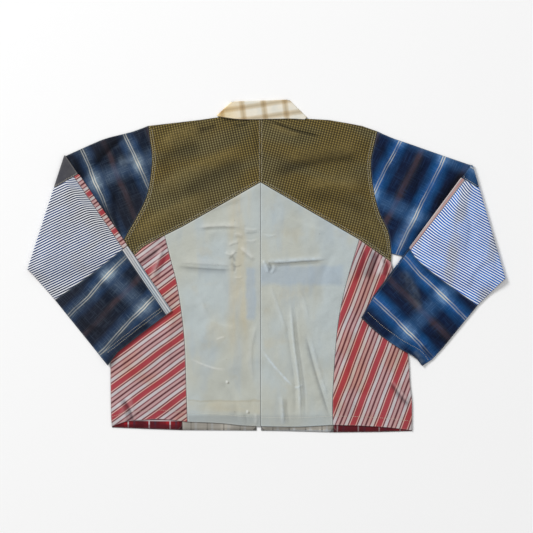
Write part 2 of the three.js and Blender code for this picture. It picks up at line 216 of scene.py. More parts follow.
class Roll:
    """A sheet that passes this line turns over it and lies back on itself."""

    def __init__(self, line, z):
        self.line, self.z = line, z

    def length(self, z):
        return math.pi * abs(self.z - z)

    def turn(self, p, z):
        past = self.line.past(p)
        angle = np.clip(past / abs(self.z - z), 0, math.pi)
        reach = np.abs(self.z - p[:, 2]) * np.sin(angle) - np.maximum(0, past - self.length(z))
        shift = np.where(past > 0, reach - past, 0)
        out = p.copy()
        out[:, :2] += shift[:, None] * self.line.normal
        out[:, 2] = self.z + (p[:, 2] - self.z) * np.cos(angle)
        return out

    def flat(self, p, z):
        """Where a point that lies folded back over the roll is on the flat cloth."""
        p = np.asarray(p, dtype=float)
        extra = -2 * self.line.past(p) + self.length(z)
        return p + np.multiply.outer(extra, self.line.normal)


def smoothstep(x, low, high):
    t = np.clip((np.asarray(x, dtype=float) - low) / (high - low), 0, 1)
    return t * t * (3 - 2 * t)


# ---- Outlines as meshes -------------------------------------------------------------------------------
def loop_of(*parts):
    """One closed outline, counter-clockwise, with doubled points dropped."""
    loop = np.vstack(parts)
    keep = np.linalg.norm(loop - np.roll(loop, -1, axis=0), axis=1) > 0.05
    loop = loop[keep]
    nxt = np.roll(loop, -1, axis=0)
    if np.sum(loop[:, 0] * nxt[:, 1] - nxt[:, 0] * loop[:, 1]) < 0:
        loop = loop[::-1]
    return loop


def loop_area(loop):
    nxt = np.roll(loop, -1, axis=0)
    return abs(np.sum(loop[:, 0] * nxt[:, 1] - nxt[:, 0] * loop[:, 1])) / 2


def drawn_in(loop, distance):
    before = loop - np.roll(loop, 1, axis=0)
    after = np.roll(loop, -1, axis=0) - loop
    before /= np.linalg.norm(before, axis=1)[:, None]
    after /= np.linalg.norm(after, axis=1)[:, None]
    inward = np.stack([-before[:, 1] - after[:, 1], before[:, 0] + after[:, 0]], axis=1)
    inward /= np.maximum(np.linalg.norm(inward, axis=1), 1e-9)[:, None]
    spread = np.maximum(0.4, inward[:, 1] * after[:, 0] - inward[:, 0] * after[:, 1])
    return loop + inward * (distance / spread)[:, None]


def resampled(loop, step):
    """The same outline with no side longer than step; its corners stay."""
    out = []
    for a, b in zip(loop, np.roll(loop, -1, axis=0)):
        count = max(1, math.ceil(np.linalg.norm(b - a) / step))
        out.append(a + (b - a) * np.linspace(0, 1, count, endpoint=False)[:, None])
    return np.vstack(out)


def distance_to(paths, p, block=4000):
    """Distance from each point to the nearest of some polylines."""
    starts = np.vstack([path[:-1] for path in paths])
    sides = np.vstack([path[1:] - path[:-1] for path in paths])
    lengths = np.maximum(np.sum(sides ** 2, axis=1), 1e-9)
    out = np.empty(len(p))
    for low in range(0, len(p), block):
        rel = p[low:low + block, None, :] - starts[None]
        t = np.clip(np.sum(rel * sides, axis=2) / lengths, 0, 1)
        out[low:low + block] = np.sqrt(np.min(np.sum((rel - t[..., None] * sides) ** 2, axis=2), axis=1))
    return out


def closed(loop):
    return np.vstack([loop, loop[:1]])


def inside(loop, p, block=4000):
    a, b = loop, np.roll(loop, -1, axis=0)
    out = np.zeros(len(p), dtype=bool)
    for low in range(0, len(p), block):
        q = p[low:low + block, None, :]
        crosses = (a[:, 1] > q[..., 1]) != (b[:, 1] > q[..., 1])
        rise = np.where(b[:, 1] == a[:, 1], 1e-12, b[:, 1] - a[:, 1])
        at = a[:, 0] + (q[..., 1] - a[:, 1]) * (b[:, 0] - a[:, 0]) / rise
        out[low:low + block] = np.sum(crosses & (q[..., 0] < at), axis=1) % 2 == 1
    return out


def along_path(path, step, offset=0.0):
    """Points and unit directions every step along a polyline, offset to its left."""
    sides = np.diff(path, axis=0)
    lengths = np.linalg.norm(sides, axis=1)
    total = np.concatenate([[0], np.cumsum(lengths)])
    at = np.arange(step / 2, total[-1], step)
    i = np.clip(np.searchsorted(total, at) - 1, 0, len(sides) - 1)
    way = sides[i] / lengths[i][:, None]
    here = path[i] + way * (at - total[i])[:, None]
    return here + offset * np.stack([-way[:, 1], way[:, 0]], axis=1), way


def filled(loop, spacing, rolls, z, lines=()):
    """Triangles that fill an outline: a lattice, finer along its edge, its rolls and its creases."""
    def from_edge(points):
        return distance_to([closed(loop)], points)

    edge = resampled(loop, spacing)
    rows = np.arange(loop[:, 1].min(), loop[:, 1].max(), spacing * math.sqrt(3) / 2)
    cols = np.arange(loop[:, 0].min(), loop[:, 0].max(), spacing)
    grid_x, grid_y = np.meshgrid(cols, rows)
    grid_x = grid_x + (np.arange(len(rows)) % 2)[:, None] * spacing / 2
    lattice = np.stack([grid_x.ravel(), grid_y.ravel()], axis=1)
    lattice = lattice[inside(loop, lattice)]
    lattice = lattice[from_edge(lattice) > 0.55 * spacing]
    if spacing < CLOSE:
        ring = drawn_in(edge, EDGE_RING)
        ring = ring[(from_edge(ring) > 0.9 * EDGE_RING) & inside(loop, ring)]
        lattice = lattice[from_edge(lattice) > EDGE_RING + 0.45 * spacing]
        lattice = np.vstack([lattice, ring])
    for roll in rolls:
        past = roll.line.past(lattice)
        length = roll.length(z)
        margin = 0.4 * spacing
        lattice = lattice[(past < -margin) | (past > length + margin)]
        reach = (loop - roll.line.point) @ roll.line.along
        steps = np.arange(reach.min(), reach.max(), spacing)
        strip = np.array([roll.line.point + s * roll.line.along + q * roll.line.normal
                          for q in np.linspace(0, length, ROLL_ROWS) for s in steps])
        strip = strip[inside(loop, strip)]
        lattice = np.vstack([lattice, strip[from_edge(strip) > 0.35]])
    if lines:
        near = distance_to(lines, lattice) < 0.5 * spacing
        lattice = lattice[~(near & (from_edge(lattice) > 2 * EDGE_RING))]
        extra = np.vstack([along_path(path, CREASE_STEP, side)[0] for path in lines for side in CREASE_SIDES])
        extra = extra[inside(loop, extra)]
        lattice = np.vstack([lattice, extra[from_edge(extra) > 0.8 * EDGE_RING]])
    count = len(edge)
    sides = [(i, (i + 1) % count) for i in range(count)]
    verts = [Vector(p) for p in np.vstack([edge, lattice])]
    out, _, faces, _, _, _ = delaunay_2d_cdt(verts, sides, [], 1, 1e-4)
    return np.array([tuple(p) for p in out]), np.array([f for f in faces if len(f) == 3])



# ---- The cut: every cloth's flat outline and how it folds ---------------------------------------------
class Cut:
    """One cloth: its outline on the flat, its height, the rolls that it turns over, and how it settles."""

    def __init__(self, loop, z, rolls=(), settle=None):
        self.loop = drawn_in(loop_of(*loop), SEAM_GAP / 2)
        self.z, self.rolls, self.settle = z, list(rolls), settle

    def folded(self, flat):
        """Where points of the flat cloth lie once it has turned over its rolls."""
        p = np.column_stack([flat, np.full(len(flat), self.z)])
        for roll in self.rolls:
            p = roll.turn(p, self.z)
        return p

    def place(self, flat):
        """Where points of the flat cloth lie once it has settled too, before its creases."""
        p = self.folded(flat)
        return self.settle(p, flat) if self.settle else p

    def from_edge(self, flat):
        return distance_to([closed(self.loop)], flat)


def body_cuts():
    cuts = {}
    for side in ("left", "right"):
        shoulder, armhole, foot = SHOULDER[side], ARMHOLE[side], YOKE_FOOT[side]
        seam, edge = SIDE_SEAM[side], SIDE_EDGE[side]
        bend = [YOKE_BEND] if side == "left" else []
        cuts[f"yoke_{side}"] = Cut([YOKE_TOP, shoulder, armhole, foot, *bend, YOKE_PEAK], BACK_Z)
        cuts[f"back_{side}"] = Cut([YOKE_PEAK, *bend, seam, BACK_HEM[side]], BACK_Z)
        corner = foot if side == "left" else foot[:1]
        cuts[f"back_side_{side}"] = Cut([corner, seam, SIDE_HEM[side], edge[::-1]], BACK_Z)
        top = FRONT_SEAM_TOP[side]
        inner = shoulder[np.abs(shoulder[:, 0]) < abs(top[0, 0])][1:]
        outer = shoulder[np.abs(shoulder[:, 0]) > abs(top[0, 0])]
        cuts[f"front_{side}"] = Cut([NECKLINE[side], inner, top, FRONT_HEM[side]], FRONT_Z)
        cuts[f"front_side_{side}"] = Cut([top, outer, armhole, edge, FRONT_SIDE_HEM[side]], FRONT_Z)
    return cuts


def collar_cuts():
    ends = {"left": pts((-108, 329), (-75, 360.3)), "right": pts((48, 364.3), (88, 325))}
    middle = np.array([-10.0, 345.0])
    rolls = {side: Roll(Line(a, b, a + b - middle), (COLLAR_Z + FRONT_Z) / 2)
             for side, (a, b) in ends.items()}
    top = Roll(Line(ends["left"][1], ends["right"][0], (0, 500)), (COLLAR_Z + BACK_Z) / 2)
    under = pts((-64, 360.3), (38, 364.3)) + top.line.normal * (top.length(COLLAR_Z) + 2)
    wings = {
        "left": pts((-98, 322), (-78, 300), (-48, 272), (-34, 302), (-70, 345)),
        "right": pts((44, 348), (2, 302), (14, 272), (54, 299), (77, 320)),
    }
    flat = {side: rolls[side].flat(wings[side], COLLAR_Z) for side in wings}
    foot = curve((84, 322), (47, 323.5), (-50, 322), (-90, 326))
    leaf = [foot, ends["left"][:1], flat["left"], ends["left"][1:], under, ends["right"][:1], flat["right"],
            ends["right"][1:]]
    stand = pts((-98, 329.5), (-66, 355), (38, 358.5), (78, 327.5), (CENTRE_X, NECK_Y + 1.5))
    return {
        "collar_fall": Cut(leaf, COLLAR_Z, [rolls["left"], rolls["right"], top]),
        "collar_stand": Cut([stand], BACK_Z),
    }


def sleeve_cuts(side):
    s = SLEEVE[side]
    armhole = ARMHOLE[side]
    armpit = armhole[-1]
    elbow_top, elbow_foot = s["elbow"]
    outside = np.array([2 * elbow_top[0], elbow_top[1]])
    elbow = Roll(Line(elbow_top, elbow_foot, outside).moved(-ELBOW_Z), ELBOW_Z)
    underarm = Line(armpit, elbow_foot, (armpit[0], -500))
    body_edge = Line(*s["body_edge"], outside)

    def settle(p, start):
        bare = np.minimum(underarm.past(p), body_edge.past(p))
        folded = smoothstep(elbow.line.past(start), 0, elbow.length(FRONT_Z))
        out = p.copy()
        out[:, 2] -= SAG * folded * smoothstep(bare, 0, SAG_WIDTH)
        return out

    cuts = {}
    for layer, z in (("front", FRONT_Z), ("back", BACK_Z)):
        def flat(p):
            return elbow.flat(p, z)

        def turn_at(a, b):
            at = elbow.line.meets(a, b)
            return np.array([at, at + elbow.line.normal * elbow.length(z)])

        over_turn = turn_at(s["overarm"][-1], elbow_top)
        under_turn = turn_at(armpit, elbow_foot)
        lower_over = flat(s["lower_overarm"])
        hem = flat(s["hem"])
        overarm = Line(over_turn[1], lower_over[-1], flat(np.zeros(2)))

        def on_overarm(a, b):
            return overarm.meets(b, a + 0.2 * (a - b))

        seam_turn = turn_at(*s["upper_seam"])
        seam_top = on_overarm(flat(s["upper_seam"][0]), seam_turn[1])
        seam_foot = underarm.meets(seam_turn[0], seam_turn[0] + 20 * (seam_turn[1] - seam_top))
        cuff_seam = flat(s["cuff_seam"])
        cuff_seam[0] = on_overarm(cuff_seam[0], cuff_seam[1])
        clear = overarm.past(cuff_seam) < -max(s["wrap"]["cuff"]) - 2
        clear[0] = True
        cuff_seam = cuff_seam[clear]
        over_roll = Roll(overarm, (FRONT_Z + BACK_Z) / 2)

        def seam_end(a, b, width):
            inner = overarm.moved(-width).meets(a, b)
            if layer == "front":
                return np.array([inner])
            return np.array([a, over_roll.flat(inner, z)])

        rolls = [over_roll, elbow] if layer == "back" else [elbow]
        wrap = s["wrap"]
        hem_end = seam_end(lower_over[-1], hem[0], wrap["cuff"][1])
        upper = [s["overarm"], over_turn, [seam_top], seam_turn[::-1], [seam_foot], armhole[::-1]]
        mid = [seam_end(seam_top, seam_turn[1], wrap["mid"][0]),
               seam_end(cuff_seam[0], cuff_seam[1], wrap["mid"][1])[::-1], cuff_seam[1:],
               under_turn[::-1], [seam_foot], seam_turn]
        cuff = [seam_end(cuff_seam[0], cuff_seam[1], wrap["cuff"][0]), hem_end[::-1], hem,
                flat(s["lower_underarm"])[::-1], cuff_seam[:0:-1]]
        cuts[f"{side}_upper_{layer}"] = Cut(upper, z, [elbow], settle)
        cuts[f"{side}_mid_{layer}"] = Cut(mid, z, rolls, settle)
        cuts[f"{side}_cuff_{layer}"] = Cut(cuff, z, rolls, settle)
    return cuts


CUTS = {**body_cuts(), **collar_cuts(), **sleeve_cuts("left"), **sleeve_cuts("right")}


# ---- Loft and creases ---------------------------------------------------------------------------------
def region_loops():
    """Outlines, as they lie, of the body's back and of each stretch of sleeve."""
    body = loop_of(SHOULDER["left"], ARMHOLE["left"], SIDE_EDGE["left"], SIDE_HEM["left"][::-1],
                   BACK_HEM["left"], BACK_HEM["right"][::-1], SIDE_HEM["right"], SIDE_EDGE["right"][::-1],
                   ARMHOLE["right"][::-1], SHOULDER["right"][::-1])
    loops = {"body": body}
    for side, s in SLEEVE.items():
        loops[f"{side}_upper"] = loop_of(s["overarm"], s["elbow"], ARMHOLE[side][::-1])
        loops[f"{side}_lower"] = loop_of(s["elbow"][:1], s["lower_overarm"], s["hem"],
                                         s["lower_underarm"][::-1], s["elbow"][1:])
    return loops


REGIONS = region_loops()
LOFT = {"body": (3.2, 60.0), "left_upper": (4.2, 42.0), "right_upper": (4.2, 42.0),
        "left_lower": (3.6, 34.0), "right_lower": (3.6, 34.0)}   # height, and width of the slope to an edge
CREASE_END = 0.22              # share of a crease's length over which each end fades out
CALM_EDGE = 8.0                # creases flatten within this of an edge
UNDER_SLEEVE_LIMIT = 1.5       # how far cloth may rise where a folded sleeve lies on it
SLEEVE_CLEAR = (2, 26)         # and the distances from it at which that stops, from and to


class Crease:
    """A trough or ridge: steep on the left of its path and gentle on the right."""

    def __init__(self, height, steep, gentle, *path, pale=0.0, dark=0.0):
        self.height, self.steep, self.gentle = height, steep, gentle
        self.path = curve(*path, step=4.0)
        # pale is a painted highlight along the crease, with the fading of a worn fold; dark is painted shade
        # in it.
        self.pale, self.dark = pale, dark

    def field(self, p):
        """Signed distance from the path, and a fade from 1 in its middle to 0 at its ends."""
        sides = np.diff(self.path, axis=0)
        lengths = np.linalg.norm(sides, axis=1)
        total = np.concatenate([[0], np.cumsum(lengths)])
        rel = p[:, None, :] - self.path[None, :-1]
        t = np.clip(np.sum(rel * sides, axis=2) / lengths ** 2, 0, 1)
        gap = rel - t[..., None] * sides
        best = np.argmin(np.sum(gap ** 2, axis=2), axis=1)
        i = np.arange(len(p))
        turn = sides[best, 0] * rel[i, best, 1] - sides[best, 1] * rel[i, best, 0]
        along = (total[best] + t[i, best] * lengths[best]) / total[-1]
        fade = smoothstep(along, 0, CREASE_END) * smoothstep(1 - along, 0, CREASE_END)
        return np.sign(turn) * np.sqrt(np.sum(gap[i, best] ** 2, axis=1)), fade

    def shape(self, p):
        near, fade = self.field(p)
        width = np.where(near > 0, self.steep, self.gentle)
        return fade * np.exp(-(near / width) ** 2)


# In each crease, pale paints a highlight, with the fading of a worn fold, and dark paints shade.
CREASES = {   # height, steep width, gentle width, then the path
    "body": [
        # centre back, upper half
        Crease(1.5, 1.8, 8, (-56, 86), (-100, 88), (-153, 84), pale=0.5),
        Crease(-0.9, 3, 3, (-56, 80), (-100, 82), (-150, 78), dark=0.45),
        Crease(1.2, 3, 10, (-70, 1), (-130, 5), (-197, 9), pale=0.25),
        Crease(-1.8, 2.2, 9, (-197, -2), (-140, -7), (-72, -11), dark=0.8),
        Crease(1.3, 2, 5, (-66, 34), (-78, 24), (-92, 30), pale=0.5),
        Crease(-1.2, 2, 5, (-84, 14), (-74, 20), (-66, 8), dark=0.7),
        Crease(1.2, 2, 5, (-60, 52), (-72, 50), (-84, 44), pale=0.3),
        Crease(-1.2, 2, 5, (-78, 8), (-68, -2), (-72, -16), dark=0.6),
        Crease(1.5, 2, 7, (-27, 13), (-44, 28), (-58, 42), pale=0.7),
        Crease(-0.9, 3, 5, (-24, 6), (-40, 18), (-54, 32), dark=0.3),
        Crease(2.0, 1.5, 7, (137, 15), (85, 12), (20, 8), (-6, 13), pale=1.0),
        Crease(-1.2, 3, 9, (130, 8), (85, 5), (25, 1), (0, 5), dark=0.7),
        Crease(1.8, 2, 5, (-7, 14), (1, -2), (5, -16), pale=0.8),
        Crease(-1.4, 2, 4, (5, 8), (11, -3), (6, -14), dark=0.9),
        Crease(1.2, 2, 5, (14, 4), (19, -5), (10, -17), pale=0.5),
        Crease(0.9, 2, 6, (8, -42), (25, -86), (43, -141), pale=0.3),
        Crease(0.9, 3, 8, (72, -50), (86, -86), (92, -122), pale=0.15),
        Crease(1.2, 4, 12, (20, 130), (60, 100), (140, 70)),
        Crease(0.8, 1.6, 4, (-72, 70), (-62, 72), (-52, 68), pale=0.4),
        Crease(-0.7, 1.6, 4, (-70, 62), (-60, 64), (-50, 60), dark=0.35),
        Crease(0.8, 1.6, 4, (-48, 84), (-34, 80), (-18, 82), pale=0.35),
        Crease(-0.7, 1.6, 4, (-46, 74), (-32, 71), (-18, 74), dark=0.3),
        Crease(0.7, 1.6, 4, (-50, 58), (-34, 55), (-17, 60), pale=0.3),
        Crease(-0.7, 1.6, 3, (-76, 1), (-64, -2), (-52, 2), dark=0.35),
        Crease(0.7, 1.6, 3, (-72, -24), (-62, -26), (-52, -22), pale=0.3),
        Crease(0.7, 1.6, 3, (-8, 70), (8, 66), (24, 70), pale=0.3),
        Crease(-1.2, 5, 12, (-150, 110), (-90, 130), (-40, 150), dark=0.15),
        # centre back, lower half
        Crease(2.0, 2.2, 3.8, (52, -66), (60, -163), (72, -262), (75, -351), pale=0.45),
        Crease(-1.2, 2, 5, (62, -80), (70, -165), (83, -262), (86, -350), dark=0.4),
        Crease(-0.8, 2, 5, (42, -90), (50, -170), (62, -262), (64, -350), dark=0.25),
        Crease(-1.5, 1.4, 5, (85, -146), (107, -229), (129, -299), (143, -342), dark=0.9),
        Crease(1.2, 3, 7, (93, -146), (116, -229), (138, -299), pale=0.3),
        Crease(1.5, 3, 5, (33, -284), (36, -320), (38, -353), pale=0.5),
        Crease(-1.2, 3, 6, (43, -290), (46, -320), (47, -353), dark=0.4),
        Crease(0.9, 1.5, 3, (-9, -185), (19, -222), (60, -266), pale=1.0),
        Crease(0.7, 1.5, 3, (60, -266), (68, -266), (80, -260), pale=0.7),
        Crease(0.8, 1.5, 3, (-168, -204), (-124, -222), (-88, -229), pale=0.6),
        Crease(0.7, 1.5, 3, (-112, -163), (-102, -158), (-90, -156), pale=0.4),
        Crease(1.0, 4, 12, (-150, -60), (-120, -120), (-60, -140), pale=0.1),
        Crease(-1.2, 6, 14, (-100, -250), (-70, -300), (-66, -350), dark=0.2),
        Crease(0.8, 2, 4, (-24, -322), (-22, -338), (-24, -352), pale=0.4),
        Crease(-0.8, 2, 4, (-48, -322), (-44, -338), (-47, -352), dark=0.3),
        Crease(-1.2, 8, 16, (150, 40), (120, -30), (124, -90), dark=0.15),
        Crease(0.9, 3, 9, (-20, -120), (-34, -190), (-28, -260), pale=0.15),
        # yoke, at the neck and across the shoulders, with painted shade under the collar's edge and broad
        # bands of painted highlight and shade
        Crease(-1.8, 1.4, 3.6, (-104, 326), (-86, 323), (-56, 322), (-28, 321), dark=1.0),
        Crease(-1.6, 1.4, 4, (-76, 312), (-56, 310), (-40, 316), dark=0.6),
        Crease(-2.0, 1.4, 4, (4, 321), (34, 310), (62, 300), (86, 294), (128, 284), dark=1.0),
        Crease(1.4, 3, 9, (8, 312), (40, 300), (80, 286), pale=0.4),
        Crease(-1.2, 3, 8, (-150, 300), (-128, 304), (-108, 312), dark=0.6),
        Crease(-1.4, 3, 8, (-22, 308), (-18, 270), (-16, 240), dark=0.3),
        Crease(2.0, 10, 20, (-236, 262), (-196, 292), (-140, 304), pale=0.5),
        Crease(-1.8, 12, 22, (-246, 214), (-206, 246), (-136, 268), dark=0.5),
        Crease(1.8, 10, 20, (-250, 148), (-196, 196), (-110, 236), (-40, 262), pale=0.4),
        Crease(-1.8, 12, 22, (-190, 150), (-120, 196), (-40, 236), dark=0.5),
        Crease(1.8, 10, 20, (-300, 50), (-250, 100), (-190, 132), (-120, 160), pale=0.4),
        Crease(2.0, 10, 22, (212, 262), (160, 244), (90, 236), (30, 238), pale=0.45),
        Crease(-1.8, 10, 20, (216, 232), (160, 236), (80, 222), (8, 196), dark=0.7),
        Crease(1.6, 10, 20, (220, 170), (160, 180), (80, 176), pale=0.45),
        Crease(-1.4, 10, 20, (226, 110), (170, 140), (90, 150), dark=0.4),
        Crease(1.6, 8, 18, (262, 30), (240, 80), (210, 110), pale=0.2),
        # striped sides
        Crease(2.0, 3, 10, (-228, 48), (-252, 30), (-284, 10), pale=0.35),
        Crease(-1.5, 3, 8, (-232, 38), (-256, 18), (-286, -2), dark=0.6),
        Crease(1.8, 3, 8, (-226, 44), (-240, 6), (-252, -30), pale=0.6),
        Crease(-1.5, 3, 8, (-218, 30), (-230, -4), (-242, -36), dark=0.5),
        Crease(2.4, 3, 9, (-325, -296), (-312, -322), (-306, -352), pale=0.2),
        Crease(-1.6, 3, 8, (-316, -290), (-300, -318), (-292, -346), dark=1.0),
        Crease(1.6, 4, 10, (-300, -280), (-296, -310), (-288, -340), pale=0.3),
        Crease(1.6, 6, 16, (-205, -90), (-216, -180), (-212, -260)),
        Crease(-1.8, 5, 11, (242, 36), (238, 10), (222, -34), dark=1.0),
        Crease(2.2, 3, 7, (250, 20), (256, 4), (250, -22), pale=0.8),
        Crease(-1.6, 3, 5, (258, 16), (266, 0), (262, -26), dark=0.8),
        Crease(1.8, 3, 6, (264, 20), (276, 2), (272, -20), pale=0.6),
        Crease(-1.4, 3, 8, (216, 40), (214, 6), (196, -40), dark=0.6),
        Crease(2.2, 2.5, 8, (272, -246), (296, -276), (319, -302), pale=0.3),
        Crease(-1.4, 3, 6, (270, -252), (292, -283), (316, -310), dark=0.9),
        Crease(1.6, 6, 16, (190, -120), (176, -200), (184, -290)),
    ],
    "left_upper": [
        # dark paints shade along the broad fold and the near-black shade by the elbow
        Crease(3.0, 4, 18, (-306, 294), (-346, 258), (-388, 212), dark=1.0),
        Crease(-1.6, 12, 14, (-424, 244), (-412, 218), (-398, 186), dark=1.0),
        Crease(-1.2, 10, 12, (-378, 150), (-350, 104), (-318, 54), dark=0.8),
        Crease(2.4, 6, 16, (-336, 170), (-336, 120), (-322, 66), dark=0.9),
        Crease(1.8, 5, 14, (-276, 250), (-300, 230), (-330, 224), pale=0.3),
        Crease(1.6, 5, 14, (-262, 200), (-300, 190), (-342, 196)),
    ],
    "right_upper": [
        Crease(2.6, 5, 18, (352, 236), (330, 200), (322, 150), dark=0.5),
        # dark paints the shade along the folded edge of the sleeve
        Crease(2.8, 6, 18, (446, 214), (414, 170), (372, 120), dark=1.0),
        Crease(-1.4, 14, 12, (440, 206), (400, 148), (352, 84), (318, 44), dark=1.0),
        Crease(2.0, 4, 14, (330, 110), (310, 70), (292, 32), pale=0.4),
        Crease(1.8, 5, 14, (252, 276), (262, 240), (270, 200), dark=0.5),
        Crease(1.8, 5, 14, (246, 160), (280, 140), (330, 136)),
    ],
    "left_lower": [
        Crease(1.4, 6, 16, (-440, 150), (-430, 90), (-400, 40)),
        Crease(1.4, 6, 16, (-370, -20), (-350, -70), (-352, -130), dark=0.3),
        Crease(1.2, 5, 14, (-300, 20), (-296, -30), (-280, -90)),
        Crease(1.6, 4, 12, (-420, -100), (-390, -130), (-352, -140), dark=0.5),
    ],
    "right_lower": [
        Crease(1.6, 7, 18, (430, 150), (440, 80), (426, 20), dark=0.2),
        Crease(1.6, 6, 16, (480, 20), (450, -20), (440, -50)),
        Crease(2.2, 4, 12, (410, -180), (386, -160), (352, -150), dark=0.5),
        Crease(2.4, 3, 9, (366, -206), (350, -190), (338, -170), dark=0.8),
        Crease(1.8, 3, 8, (344, -218), (334, -200), (322, -186), pale=0.3),
        Crease(1.4, 6, 16, (300, 0), (330, -60), (340, -110), pale=0.2),
    ],
}


def ripples(seed, count, shortest, longest):
    """Directions, phases and heights of crossing waves that undulate a large cloth."""
    draw = np.random.default_rng(seed)
    lengths = np.exp(draw.uniform(math.log(shortest), math.log(longest), count))
    angles = draw.uniform(0, math.pi, count)
    waves = 2 * math.pi / lengths[:, None] * np.stack([np.cos(angles), np.sin(angles)], axis=1)
    return waves, draw.uniform(0, 2 * math.pi, count), lengths / lengths.max()


BROAD = ripples(11, 16, 70, 240)
SMALL = ripples(12, 26, 14, 45)


def waved(p, waves):
    vectors, phases, heights = waves
    bent = p + 6 * np.stack([np.sin(p[:, 1] / 31), np.sin(p[:, 0] / 37)], axis=1)
    return np.sin(bent @ vectors.T + phases) @ heights / math.sqrt(len(heights))


def relief(p, region):
    """How far the top cloth of a region stands off its lie, with the fading and painted highlight on its
    creases and the painted shade in them.
    """
    loop = REGIONS[region]
    height, slope = LOFT[region]
    from_edge = distance_to([closed(loop)], p)
    rise = height * smoothstep(from_edge, 0, slope)
    rise = rise * (1 + 0.35 * waved(p, BROAD)) + 0.28 * waved(p, SMALL) * smoothstep(from_edge, 0, 14)
    pale = np.zeros(len(p))
    dark = np.zeros(len(p))
    for crease in CREASES[region]:
        shape = crease.shape(p)
        rise = rise + crease.height * shape * smoothstep(from_edge, 0, CALM_EDGE)
        pale += crease.pale * shape
        dark += crease.dark * shape
    if region in ("body", "left_upper", "right_upper"):
        for side in SLEEVE:
            lower = REGIONS[f"{side}_lower"]
            away = np.where(inside(lower, p), 0.0, distance_to([closed(lower)], p))
            free = smoothstep(away, *SLEEVE_CLEAR)
            rise = free * rise + (1 - free) * np.minimum(rise, UNDER_SLEEVE_LIMIT)
    return np.maximum(rise, 0.0), np.clip(pale, 0, 1), np.clip(dark, 0, 1)


def region_of(name):
    side, _, rest = name.partition("_")
    if side not in SLEEVE:
        return "body" if name.startswith(("yoke", "back")) else None
    part, _, layer = rest.partition("_")
    if part == "upper":
        return f"{side}_upper" if layer == "back" else f"{side}_lower"
    return f"{side}_lower"


def lying(name, flat):
    """Points of a cloth where they lie, creases and all, with the fading and painted highlight, and the
    painted shade, that the creases give them.
    """
    cut = CUTS[name]
    placed = cut.place(flat)
    region = region_of(name)
    none = np.zeros(len(flat))
    if region is None:
        return placed, none, none
    rise, pale, dark = relief(placed[:, :2], region)
    if region.endswith("lower"):
        top = smoothstep(cut.folded(flat)[:, 2], 2 * ELBOW_Z - BACK_Z + 0.1, 2 * ELBOW_Z - FRONT_Z - 0.05)
    elif region.endswith("upper"):
        top = smoothstep(-cut.rolls[-1].line.past(flat), 2, 30)
    else:
        top = 1.0
    tuck = EDGE_TUCK * np.exp(-(cut.from_edge(flat) / 1.3) ** 2) * np.minimum(1, rise)
    placed[:, 2] += rise * top - tuck * top
    return placed, pale * top, dark * top



# ---- From a cut to a piece ----------------------------------------------------------------------------
GRAIN = {   # degrees from +X to the cloth's own first direction, as it shows, where they differ
    "yoke_left": 13, "yoke_right": -15, "back_side_left": 36, "back_side_right": 69, "collar_fall": 8,
    "left_upper_back": -67, "left_upper_front": 26, "left_mid_front": 25.6, "left_mid_back": 34,
    "left_cuff_front": 46, "left_cuff_back": -55,
    "right_upper_back": 64, "right_upper_front": -30, "right_mid_front": -29.7, "right_mid_back": 54,
    "right_cuff_front": -45, "right_cuff_back": -45,
}
RED_REPEAT = 54.0
PLAID_REPEAT = 104.0
SETTING = {   # where repeats start along and across a cloth, the repeat there, and its chart's own
    "back_side_left": (0, -16, 53, RED_REPEAT), "back_side_right": (0, -302, 54, RED_REPEAT),
    "left_mid_back": (0, 0, 50, RED_REPEAT),
    "left_upper_back": (-318, -172.9, 102, PLAID_REPEAT), "right_upper_back": (240, -143, 104, PLAID_REPEAT),
    "left_cuff_front": (-254, 236, 106, PLAID_REPEAT), "right_cuff_front": (320, 227, 111, PLAID_REPEAT),
}
OVERARM_PULL = {"left_mid_front": (17, 36), "right_mid_front": (-10, 40)}   # how far stripes bend, how wide


def cloth_axes(name, flat):
    """Places on the cloth in its own two directions, in millimetres."""
    seen = flat
    if (region_of(name) or "").endswith("lower"):
        elbow = CUTS[name].rolls[-1]
        past = elbow.line.past(flat)
        seen = flat - np.outer(2 * past - elbow.length(CUTS[name].z), elbow.line.normal)
    angle = math.radians(GRAIN.get(name, 0))
    u = seen[:, 0] * math.cos(angle) + seen[:, 1] * math.sin(angle)
    v = -seen[:, 0] * math.sin(angle) + seen[:, 1] * math.cos(angle)
    if name in OVERARM_PULL:
        pull, width = OVERARM_PULL[name]
        s = SLEEVE[name.split("_")[0]]
        overarm = Line(s["elbow"][0], s["lower_overarm"][-1], (0, 400))
        depth = -overarm.past(seen)
        top = smoothstep(seen[:, 1], 20, 190)
        v = v + pull * (0.06 + 0.94 * top) * (1 - smoothstep(depth, 0, width)) ** 1.5
    if name in SETTING:
        u_start, v_start, repeat, chart = SETTING[name]
        u = u - u_start
        v = (v - v_start) * chart / repeat
    v = v + 1.0 * waved(seen, BROAD)
    return np.column_stack([u, v])


def vertex_normals(points, faces):
    a, b, c = (points[faces[:, k]] for k in range(3))
    face = np.cross(b - a, c - a)
    out = np.zeros_like(points)
    for k in range(3):
        np.add.at(out, faces[:, k], face)
    return out / np.maximum(np.linalg.norm(out, axis=1), 1e-12)[:, None]


def rim_of(faces):
    """Outer edges of a sheet, each in the direction that its triangle has it."""
    pairs = np.vstack([faces[:, [0, 1]], faces[:, [1, 2]], faces[:, [2, 0]]])
    known = {tuple(e) for e in pairs.tolist()}
    return np.array([e for e in pairs.tolist() if (e[1], e[0]) not in known])


